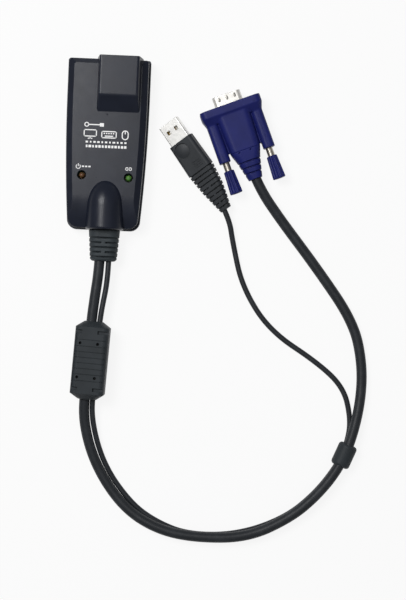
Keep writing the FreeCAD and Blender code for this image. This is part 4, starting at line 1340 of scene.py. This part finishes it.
    def dimples(self, shop: Workshop) -> bpy.types.Object:
        """Build the row of pressed dimples on the D shell's upper face, coloured darker than the shell as
        painted shade.

        Args:
            shop: The workshop.

        Returns:
            The dimples' object.
        """
        reach, rise = self.dimple_radius, self.dimple_rise
        shoulder = (rise * self.dimple_shoulder[0], reach * self.dimple_shoulder[1])
        dome = lathe([(0, 0), (0, reach), shoulder, (rise, reach * self.dimple_crown), (rise, 0)],
                     self.dimple_steps)
        dome.transform(Matrix.Diagonal((1.0, self.dimple_stretch, 1.0, 1.0))
                       @ Matrix.Rotation(math.radians(90), 4, "X"))
        mesh = line_tree().row(shop, dome, self.dimple_count, (*self.dimple_start, self.shell_top),
                               (self.dimple_pitch, 0, 0), DIMPLE_PAINTED_SHADE)
        mesh.transform(self.seat.matrix())
        return shop.piece("shell_dimples", smooth(mesh, STEEP_CREASE_ANGLE), DIMPLE_PAINTED_SHADE,
                          Body.ADAPTER)

    def build(self, shop: Workshop) -> List[bpy.types.Object]:
        """Build the plug.

        Args:
            shop: The workshop.

        Returns:
            The plug's pieces.
        """
        hood = shop.melted(shop.node_copy("vga_hood"), self.hood_voxel, self.hood_passes)
        tail = shop.melted(shop.node_copy("vga_strain_relief"), self.tail_voxel)
        shell = shop.soft_edges(shop.node_copy("vga_shell"), self.shell_edge, CREASE_ANGLE,
                                self.edge_steps)
        pieces = [
            shop.piece("video_hood", hood, HOOD_BLUE, Body.ADAPTER, ["vga_hood"]),
            shop.piece("video_tail", tail, HOOD_BLUE, Body.ADAPTER, ["vga_strain_relief"]),
            shop.piece("video_shell", shell, NICKEL, Body.ADAPTER, ["vga_shell"]),
            self.pins(shop), self.dimples(shop)]
        for side, word, body in ((-1, "left", Body.LEFT_SCREW), (1, "right", Body.RIGHT_SCREW)):
            pieces.append(self.knob(shop, side, f"{word}_knob", body))
            shaft = shop.soft_edges(shop.node_copy(f"{word}_jackscrew"), self.shaft_edge,
                                    STEEP_CREASE_ANGLE, self.edge_steps)
            pieces.append(shop.piece(f"{word}_shaft", shaft, STEEL, body, [f"{word}_jackscrew"]))
        pieces.append(shop.dress("vga_contact_block", CHIP_BLACK))
        pieces.append(shop.dress("vga_inner_mould", NYLON_WHITE))
        return pieces


# ------------------------------------------------------------------ USB plug
@dataclass
class UsbPlug:
    """The black plug: overmould with its thumb pad and ribbed tail, shell, tongue and contacts."""

    seat: Seat = Seat((40.9, 3.9, 5.85), 37.0, -20.0)
    shell_edge: float = 0.1
    edge_steps: int = 2
    cover_top: float = 3.8
    rib_size: Point = (4.8, 0.45, 0.18)
    rib_root: float = 0.1
    rib_start: Pair = (1.7, -13.7)
    rib_pitch: float = 1.15
    rib_count: int = 4

    def ribs(self, shop: Workshop) -> bpy.types.Object:
        """Build the low ribs behind the thumb pad.

        Args:
            shop: The workshop.

        Returns:
            The ribs' object.
        """
        wide, deep, high = self.rib_size
        rib = block((-wide / 2, -deep / 2, -self.rib_root), (wide / 2, deep / 2, high))
        mesh = line_tree().row(shop, rib, self.rib_count, (*self.rib_start, self.cover_top),
                               (0, -self.rib_pitch, 0), USB_GREY)
        mesh.transform(self.seat.matrix())
        return shop.piece("usb_grip_ribs", mesh, USB_GREY, Body.ADAPTER)

    def build(self, shop: Workshop) -> List[bpy.types.Object]:
        """Build the plug.

        Args:
            shop: The workshop.

        Returns:
            The plug's pieces.
        """
        shell = shop.soft_edges(shop.node_copy("usb_shell"), self.shell_edge, CREASE_ANGLE,
                                self.edge_steps)
        return [
            shop.dress("usb_overmould", USB_GREY), self.ribs(shop),
            shop.piece("usb_metal", shell, BRIGHT_TIN, Body.ADAPTER, ["usb_shell"]),
            shop.dress("usb_contact_block", NYLON_WHITE), shop.dress("usb_contacts", GOLD),
            shop.dress("usb_inner_mould", CHIP_BLACK)]


# ------------------------------------------------------------------ stage
@dataclass(frozen=True)
class Softbox:
    """One square area lamp: its place and size in millimetres, and its power in watts."""

    name: str
    place: Point
    size: float
    watts: float


@dataclass
class Studio:
    """A white floor, soft light from above and a camera that looks straight down."""

    camera_over: Pair = (56.6, -83.1)
    camera_height: float = 750.0
    camera_turn: float = 2.4
    lens: float = 81.08
    sensor: float = 36.0
    near_clip: float = 10.0
    floor_size: float = 4000.0
    floor_drop: float = 0.2
    floor_white: float = 0.86
    floor_roughness: float = 0.9
    floor_specular: float = 0.1
    floor_glow: float = 0.88
    surround: float = 0.22
    softboxes: Tuple[Softbox, ...] = (Softbox("key", (-320, 200, 900), 400, 6.6),
                                      Softbox("fill", (300, -260, 1200), 1100, 1.4))

    def floor(self) -> None:
        """Lay the floor: white to the camera and in reflections, with the object's shadow kept."""
        work = bmesh.new()
        bmesh.ops.create_grid(work, x_segments=1, y_segments=1, size=self.floor_size / 2 * MM)
        mesh = bpy.data.meshes.new("floor")
        work.to_mesh(mesh)
        work.free()
        mesh.transform(Matrix.Translation((0, 0, -self.floor_drop * MM)))
        floor = bpy.data.objects.new("floor", mesh)
        bpy.context.scene.collection.objects.link(floor)
        sheet = ShaderSheet("floor_white")
        sheet.set_surface(Base_Color=(self.floor_white, self.floor_white, self.floor_white, 1.0),
                          Roughness=self.floor_roughness, Specular_IOR_Level=self.floor_specular)
        glow = sheet.node("ShaderNodeEmission", Strength=1.0, Color=(1, 1, 1, 1))
        rays = sheet.node("ShaderNodeLightPath")
        seen = rays.outputs["Is Camera Ray"]
        for other in ("Is Glossy Ray", "Is Transmission Ray"):
            either = sheet.node("ShaderNodeMath", operation="MAXIMUM")
            sheet.join(seen, either.inputs[0])
            sheet.join(rays.outputs[other], either.inputs[1])
            seen = either.outputs[0]
        share = sheet.node("ShaderNodeMath", operation="MULTIPLY")
        share.inputs[1].default_value = self.floor_glow
        sheet.join(seen, share.inputs[0])
        mix = sheet.node("ShaderNodeMixShader")
        out = sheet.tree.nodes["Material Output"]
        sheet.join(share.outputs[0], mix.inputs["Fac"])
        sheet.join(sheet.surface.outputs["BSDF"], mix.inputs[1])
        sheet.join(glow.outputs["Emission"], mix.inputs[2])
        sheet.join(mix.outputs["Shader"], out.inputs["Surface"])
        mesh.materials.append(sheet.material)

    def hang(self, softbox: Softbox) -> None:
        """Hang one lamp that points at the middle of the object.

        Args:
            softbox: Which lamp.
        """
        light = bpy.data.lights.new(softbox.name, "AREA")
        light.energy = softbox.watts
        light.size = softbox.size * MM
        lamp = bpy.data.objects.new(softbox.name, light)
        target = Vector((*self.camera_over, 0)) * MM
        lamp.location = Vector(softbox.place) * MM
        lamp.rotation_euler = (target - lamp.location).to_track_quat("-Z", "Y").to_euler()
        bpy.context.scene.collection.objects.link(lamp)

    def world(self) -> None:
        """Set an even pale surround."""
        world = bpy.data.worlds.new("surround")
        world.use_nodes = True
        world.node_tree.nodes["Background"].inputs["Color"].default_value = (1, 1, 1, 1)
        world.node_tree.nodes["Background"].inputs["Strength"].default_value = self.surround
        bpy.context.scene.world = world

    def camera(self) -> None:
        """Set the camera straight above the object."""
        data = bpy.data.cameras.new("camera")
        data.sensor_fit = "VERTICAL"
        data.sensor_height = self.sensor
        data.lens = self.lens
        data.clip_start = self.near_clip * MM
        camera = bpy.data.objects.new("camera", data)
        camera.location = Vector((*self.camera_over, self.camera_height)) * MM
        camera.rotation_euler = (0, 0, math.radians(self.camera_turn))
        bpy.context.scene.collection.objects.link(camera)
        bpy.context.scene.camera = camera

    def build(self) -> None:
        """Set the whole stage."""
        self.floor()
        for softbox in self.softboxes:
            self.hang(softbox)
        self.world()
        self.camera()
        bpy.context.scene.view_settings.view_transform = "Standard"


def main() -> None:
    """Build every assembly in order."""
    logging.basicConfig(level=logging.INFO, format="%(name)s: %(message)s")
    shop = Workshop()
    Module().build(shop)
    fittings = CordFittings().build(shop)
    video = VideoPlug().build(shop)
    usb = UsbPlug().build(shop)
    VIDEO_CORD.build(shop, fittings + video)
    DATA_CORD.build(shop, usb)
    Studio().build()
    bpy.context.view_layer.update()


if __name__ == "__main__":
    main()
